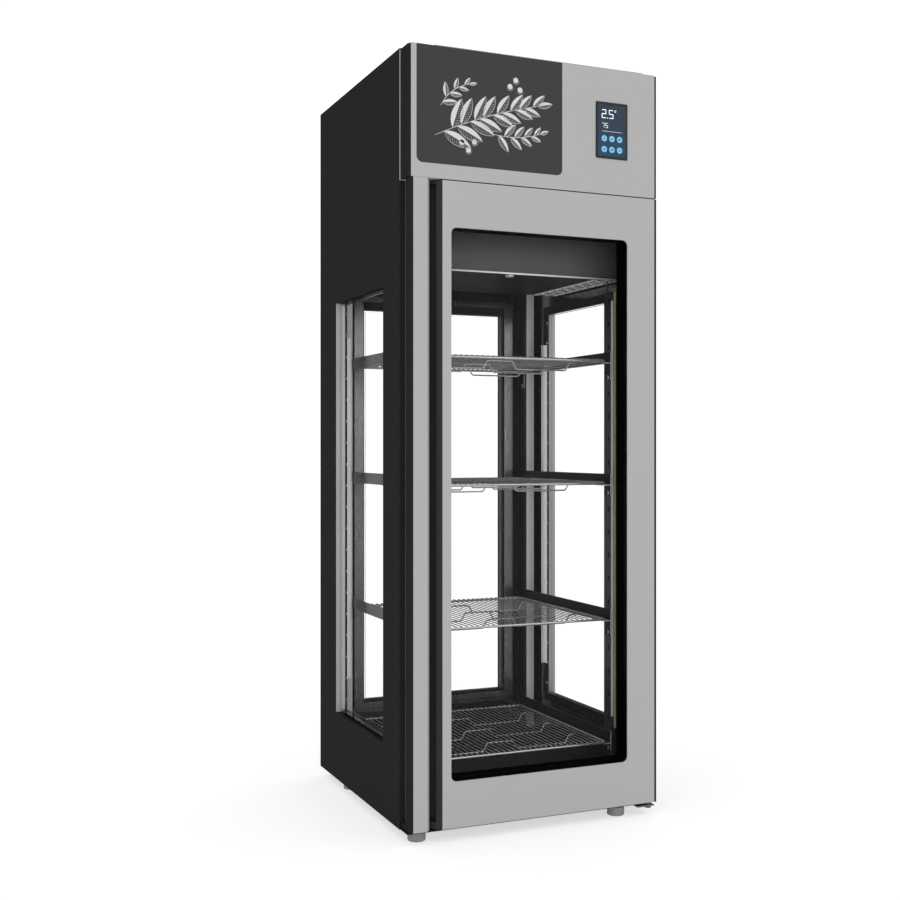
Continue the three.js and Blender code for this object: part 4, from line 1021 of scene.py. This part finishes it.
def door_border():
    """Black border round the glass, seen at the bottom of the door's reveal."""
    low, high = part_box("door_glazing")
    x0, x1 = low.x + BORDER_INSET, high.x - BORDER_INSET
    z0, z1 = low.z + BORDER_INSET, high.z - BORDER_INSET
    width = BORDER_WIDTH
    outer = rounded(x0, x1, z0, z1, BORDER_RADIUS)
    inner = rounded(x0 + width, x1 - width, z0 + width, z1 - BORDER_TOP_WIDTH, BORDER_RADIUS - width)
    far = low.y - PIECE_GAP
    mesh = bmesh.new()
    flat_ring(mesh, outer, inner, far - BORDER_THICKNESS, far)
    finish_piece("door_glass_border", mesh, gloss_black, "door")


def upright_shade_caps(side):
    """Dark sheets over the front lip of a front upright, above and below the height of the windows, as
    painted shade.
    """
    low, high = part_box("rack_upright_front_right")
    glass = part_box("right_glazing")
    xs = on_side(side, low.x, high.x)
    far = low.y - PIECE_GAP
    mesh = bmesh.new()
    for z0, z1 in ((low.z, glass[0].z + CAP_LAP), (glass[1].z - CAP_LAP / 2, high.z - UPRIGHT_TONGUE)):
        slab(mesh, rectangle(*xs, z0, z1), "Y", far - CAP_THICKNESS, far)
    finish_piece(f"upright_caps_{side}", mesh, soft_black)


def window_reveal(side):
    """Bright rear face of a window's outer reveal."""
    low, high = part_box("right_glazing")
    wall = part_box("right_wall")[1].x
    xs = on_side(side, high.x + PIECE_GAP, wall - PIECE_GAP)
    mesh = bmesh.new()
    slab(mesh, rectangle(*xs, low.z, high.z), "Y", high.y - REVEAL_THICKNESS, high.y)
    finish_piece(f"window_reveal_{side}", mesh, edge_steel)


def window_clips(side):
    """Small clips along the rear edge of a window's pane."""
    low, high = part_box("right_glazing")
    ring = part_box("right_window_frame")
    xs = on_side(side, ring[0].x - CLIP_LEAD, ring[1].x)
    back = high.y - CLIP_INSET
    count = int((high.z - low.z) / CLIP_PITCH)
    start = (low.z + high.z) / 2 - (count - 1) * CLIP_PITCH / 2
    mesh = bmesh.new()
    for i in range(count):
        z = start + i * CLIP_PITCH
        slab(mesh, rectangle(*xs, z, z + CLIP_HEIGHT), "Y", back - CLIP_RISE, back)
    finish_piece(f"window_clips_{side}", mesh, edge_steel)


def levelling_foot(node, body):
    """Round foot with soft edges and a threaded stud."""
    low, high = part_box(node)
    centre = ((low.x + high.x) / 2, (low.y + high.y) / 2, low.z)
    radius = (high.y - low.y) / 2
    neck = FOOT_NECK_DIAMETER / 2
    stud = FOOT_STUD_DIAMETER / 2
    neck_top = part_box("base_floor")[0].z - low.z - PIECE_GAP
    stud_top = high.z - low.z
    profile = [(radius * CENTRE_SHARE, 0), (radius - FOOT_EDGE, 0)]
    for i in range(1, FOOT_EDGE_STEPS + 1):
        turn = heading(-math.pi / 2 + math.pi / 2 * i / FOOT_EDGE_STEPS) * FOOT_EDGE
        profile.append((radius - FOOT_EDGE + turn.x, FOOT_EDGE + turn.y))
    edge = FOOT_EDGE / 3
    profile += [(radius, FOOT_PAD_HEIGHT - edge), (radius - edge, FOOT_PAD_HEIGHT), (neck, FOOT_PAD_HEIGHT),
                (neck, neck_top), (stud, neck_top), (stud, stud_top), (stud * CENTRE_SHARE, stud_top)]
    mesh = bmesh.new()
    lathe(mesh, profile, centre, "Z", FOOT_FACES)
    obj = finish_piece(f"levelling_{node}", mesh, turned_steel, body)
    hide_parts(node)


def leaf(lights, lines, base, angle, length, layer):
    """Leaf drawn as an engraving: one half filled, the other hatched, with a midrib."""
    along = heading(angle)
    across = Vector((-along.y, along.x))
    half_width = length * LEAF_SLIMNESS / 2

    def point(share, side):
        fullness = math.sin(math.pi * share) ** LEAF_POINT * (LEAF_BASE_FULLNESS - LEAF_TIP_LOSS * share)
        return base + along * (length * share) + across * (half_width * fullness * side)

    shares = [i / LEAF_STEPS for i in range(LEAF_STEPS + 1)]
    upper = [point(share, 1) for share in shares]
    rib = [point(share, RIB_SHARE) for share in shares]
    slab(lights, [(p.x, p.y) for p in upper[1:-1] + rib[::-1]], "Y", *layer)
    stroke(lines, [point(share, -1) for share in shares], STROKE_WIDTH, layer, 0.7)
    for i in range(1, HATCH_COUNT + 1):
        share = i / (HATCH_COUNT + 2)
        end = point(min(share + HATCH_SLANT, 1), HATCH_END)
        straight(lines, point(share, HATCH_START), end, FINE_STROKE_WIDTH, layer, 0.5)


def sprig(lights, lines, start, angle, bend, length, leaves, leaf_length, layer):
    """Curved stem with leaves on both sides that get smaller towards its tip."""
    points = [Vector(start)]
    for i in range(STEM_STEPS):
        points.append(points[-1] + heading(angle + bend * i / STEM_STEPS) * (length / STEM_STEPS))
    stroke(lines, points, STEM_STROKE_WIDTH, layer, 0.5)
    for k in range(leaves):
        share = FIRST_LEAF + LEAF_SPAN * k / (leaves - 1)
        lean = math.radians(LEAF_LEAN - LEAF_LEAN_LOSS * share)
        side = 0 if k == leaves - 1 else 1 if k % 2 else -1
        size = leaf_length * (1 - LEAF_SHRINK * share)
        leaf(lights, lines, points[int(share * STEM_STEPS)], angle + bend * share + side * lean, size, layer)


def berry(lights, lines, cx, cz, radius, layer):
    """Filled berry with an arc beside it."""
    slab(lights, circle(cx, cz, radius), "Y", *layer)
    angles = [math.radians(ARC_START + ARC_STEP * i) for i in range(ARC_POINTS)]
    arc = [Vector((cx, cz)) + heading(angle) * (radius * ARC_SHARE) for angle in angles]
    stroke(lines, arc, FINE_STROKE_WIDTH, layer, 0.6)


def header_drawing():
    """Light drawing of herb sprigs and berries on the dark header panel."""
    low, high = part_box("graphics_panel")
    layer = (low.y - PRINT_RISE, low.y + PRINT_RISE)
    wide = high.x - low.x
    tall = high.z - low.z
    reach = tall * LONGEST_LEAF
    lights, lines = bmesh.new(), bmesh.new()

    def at(u, v):
        return (low.x + wide * u, low.z + tall * v)

    # Start, angle and bend in degrees, length, number of leaves and longest leaf
    sprigs = ((at(0.12, 0.24), 26, -14, wide * 0.78, 17, reach),
              (at(0.16, 0.5), 62, -52, tall * 0.36, 7, reach * 0.5),
              (at(0.52, 0.3), -8, 30, wide * 0.34, 9, reach * 0.6))
    for start, angle, bend, length, leaves, leaf_length in sprigs:
        turns = (math.radians(angle), math.radians(bend))
        sprig(lights, lines, start, *turns, length, leaves, leaf_length, layer)
    for place in BERRIES:
        berry(lights, lines, *at(*place), tall * BERRY_SHARE, layer)
    finish_piece("header_drawing_fill", lights, print_white)
    finish_piece("header_drawing_lines", lines, print_white)


def digit(mesh, text, x, z, share, layer):
    """Figure made of straight bars, at a share of the full size."""
    right, top, middle = x + DIGIT_WIDTH * share, z + DIGIT_HEIGHT * share, z + DIGIT_HEIGHT * share / 2
    bars = {"a": ((x, top), (right, top)), "b": ((right, middle), (right, top)),
            "c": ((right, z), (right, middle)), "d": ((x, z), (right, z)), "e": ((x, z), (x, middle)),
            "f": ((x, middle), (x, top)), "g": ((x, middle), (right, middle))}
    for key in SEGMENTS[text]:
        straight(mesh, *bars[key], DIGIT_STROKE * share, layer)


def display_figures(low, high, layer):
    """Two rows of figures, a degree ring and a line below them."""
    wide = high.x - low.x
    tall = high.z - low.z
    left = low.x + wide * SCREEN_MARGIN
    top = low.z + tall * FIGURES_LEVEL
    mesh = bmesh.new()
    digit(mesh, "2", left, top, 1, layer)
    slab(mesh, circle(left + DIGIT_WIDTH * DOT_PLACE, top, DIGIT_STROKE * DOT_SHARE, DOT_FACES), "Y", *layer)
    digit(mesh, "5", left + DIGIT_WIDTH * LAST_FIGURE_PLACE, top, 1, layer)
    ring = circle(left + DIGIT_WIDTH * DEGREE_PLACE, top + DIGIT_HEIGHT * DEGREE_LEVEL,
                  DIGIT_STROKE * DEGREE_SHARE, DEGREE_FACES)
    stroke(mesh, ring + ring[:1], DIGIT_STROKE * DEGREE_STROKE_SHARE, layer)
    for place, text in enumerate("75"):
        x = left + place * DIGIT_WIDTH * SMALL_SHARE * SMALL_PITCH
        digit(mesh, text, x, low.z + tall * SMALL_FIGURES_LEVEL, SMALL_SHARE, layer)
    ends = [(x, low.z + tall * LINE_LEVEL) for x in (left, high.x - wide * SCREEN_MARGIN)]
    straight(mesh, *ends, DIGIT_STROKE * LINE_STROKE_SHARE, layer)
    finish_piece("display_figures", mesh, icon_white)


def display_symbols(low, high, layer):
    """Round symbols, each with a star of three to five rays."""
    near, back = layer
    discs = bmesh.new()
    signs = bmesh.new()
    for row, v in enumerate(ICON_ROWS):
        for column, u in enumerate(ICON_COLUMNS):
            core = Vector((low.x + (high.x - low.x) * u, low.z + (high.z - low.z) * v))
            slab(discs, circle(core.x, core.y, ICON_RADIUS), "Y", near, back)
            rays = 3 + (row + column) % 3
            for k in range(rays):
                tip = core + heading(2 * math.pi * k / rays + math.pi / 2) * (ICON_RADIUS * SIGN_SHARE)
                straight(signs, core, tip, ICON_RADIUS * SIGN_STROKE_SHARE, (near - ICON_RISE / 2, back))
    finish_piece("display_symbols", discs, icon_blue)
    finish_piece("display_signs", signs, screen_glass)


def control_display():
    """Screen with plain figures and round symbols under the glass."""
    low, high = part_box("display_screen")
    front = low.y + SCREEN_RECESS
    mesh = bmesh.new()
    slab(mesh, rounded(low.x, high.x, low.z, high.z, SCREEN_RADIUS), "Y", front, front + SCREEN_THICKNESS)
    glass = finish_piece("display_glass", mesh, screen_glass)
    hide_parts("display_screen")
    layer = (front - ICON_RISE, front + ICON_RISE)
    display_figures(low, high, layer)
    display_symbols(low, high, layer)


def rear_screws():
    """Screws with dished sockets, above and below on the rear cover."""
    low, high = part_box("machine_rear_cover")
    face_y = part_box("rear_wall")[1].y
    profile = [(SCREW_DIAMETER / 2 * r, SCREW_HEIGHT * h) for r, h in SCREW_PROFILE]
    profile += [(SCREW_SOCKET / 2 * r, SCREW_HEIGHT * h) for r, h in SOCKET_PROFILE]
    span = high.x - low.x - 2 * SCREW_EDGE_INSET
    mesh = bmesh.new()
    for i in range(SCREW_COLUMNS):
        x = low.x + SCREW_EDGE_INSET + span * i / (SCREW_COLUMNS - 1)
        for z in (low.z + SCREW_EDGE_INSET, high.z - SCREW_EDGE_INSET):
            lathe(mesh, profile, (x, face_y + SCREW_GAP, z), "Y", SCREW_FACES)
    finish_piece("rear_cover_screws", mesh, bright_steel)


def inlet_pins():
    """The three contact pins of the mains inlet."""
    face_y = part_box("rear_wall")[1].y
    inlet_x = -LINER_HALF_WIDTH + INLET_SIDE_INSET
    inlet_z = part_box("compartment_ceiling")[1].z + INLET_RISE
    mesh = bmesh.new()
    for offset, rise in ((-1, 0), (0, 1), (1, 0)):
        x = inlet_x + offset * PIN_PITCH
        z = inlet_z + rise * PIN_WIDTH
        outline = rectangle(x - PIN_WIDTH / 2, x + PIN_WIDTH / 2, z - PIN_HEIGHT / 2, z + PIN_HEIGHT / 2)
        slab(mesh, outline, "Y", face_y - PIN_FOOT_DEPTH, face_y - PIN_TIP_DEPTH)
    finish_piece("inlet_pins", mesh, bright_steel)


def hinge_nut():
    """Six-sided nut under the lower hinge plate, on the door's axis."""
    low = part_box("hinge_plate_lower")[0]
    joint = [j for j in frame["joints"] if j["name"] == "door_hinge"][0]
    origin = joint["pos_m"]
    outline = circle(origin[0], origin[1], NUT_WIDTH / math.sqrt(3), NUT_SIDES)
    top = low.z - PIECE_GAP
    mesh = bmesh.new()
    slab(mesh, outline, "Z", top - NUT_HEIGHT, top)
    obj = finish_piece("hinge_nut", mesh, bright_steel)
    soften(obj)


def place_camera():
    """Camera of the photo."""
    data = bpy.data.cameras.new("camera")
    data.lens = CAMERA_LENS
    data.sensor_width = CAMERA_SENSOR
    data.shift_y = CAMERA_SHIFT_Y
    data.clip_end = FLOOR_SIZE
    camera = add_object("camera", data)
    camera.location = CAMERA_PLACE
    camera.rotation_euler = (math.pi / 2, 0, CAMERA_YAW)
    scene.camera = camera


def place_floor():
    """Pale floor just below the feet."""
    half = FLOOR_SIZE / 2
    mesh = bmesh.new()
    mesh.faces.new([mesh.verts.new((x, y, -FLOOR_DROP)) for x, y in rectangle(-half, half, -half, half)])
    floor = mesh_object("floor", mesh, floor_finish())


def surroundings():
    """White for what the camera sees, even light on matt surfaces, softer bands in reflections."""
    scene.world = bpy.data.worlds.new("studio")
    scene.world.use_nodes = True
    sky = NodeTree(scene.world.node_tree)
    path = sky.node("ShaderNodeLightPath")
    x, y, z = sky.split(sky.node("ShaderNodeTexCoord").outputs["Generated"])
    angle = sky.math("ARCTAN2", y, x)
    turn = sky.put(sky.node("ShaderNodeMapRange"), From_Min=-math.pi, From_Max=math.pi, Value=angle)
    ramp = sky.node("ShaderNodeValToRGB")
    elements = ramp.color_ramp.elements
    while len(elements) < len(MIRRORED_GREYS):
        elements.new(0.5)
    for element, (position, value) in zip(elements, MIRRORED_GREYS):
        element.position = position
        element.color = grey(value)
    sky.put(ramp, Fac=turn.outputs["Result"])
    seen = sky.blend(path.outputs["Is Camera Ray"], grey(MATT_LIGHT), grey(BACKDROP_LIGHT))
    colour = sky.blend(path.outputs["Is Glossy Ray"], seen, ramp.outputs["Color"])
    sky.put(sky.tree.nodes["Background"], Color=colour, Strength=1.0)


scene.view_settings.view_transform = "Standard"
place_camera()
place_floor()
surroundings()

for shelf_row in SHELF_ROWS:
    wire_shelf(shelf_row)
for side in SIDES:
    duct_grille(side)
    pane_edge(side)
    window_reveal(side)
    window_clips(side)
    upright_shade_caps(side)
duct_knob()
duct_hem()
door_border()
for end in ENDS:
    for side in SIDES:
        levelling_foot(f"foot_{end}_{side}", f"{end}_{side}_foot")
        slot_shade_strip(end, side)
header_drawing()
control_display()
rear_screws()
inlet_pins()
hinge_nut()
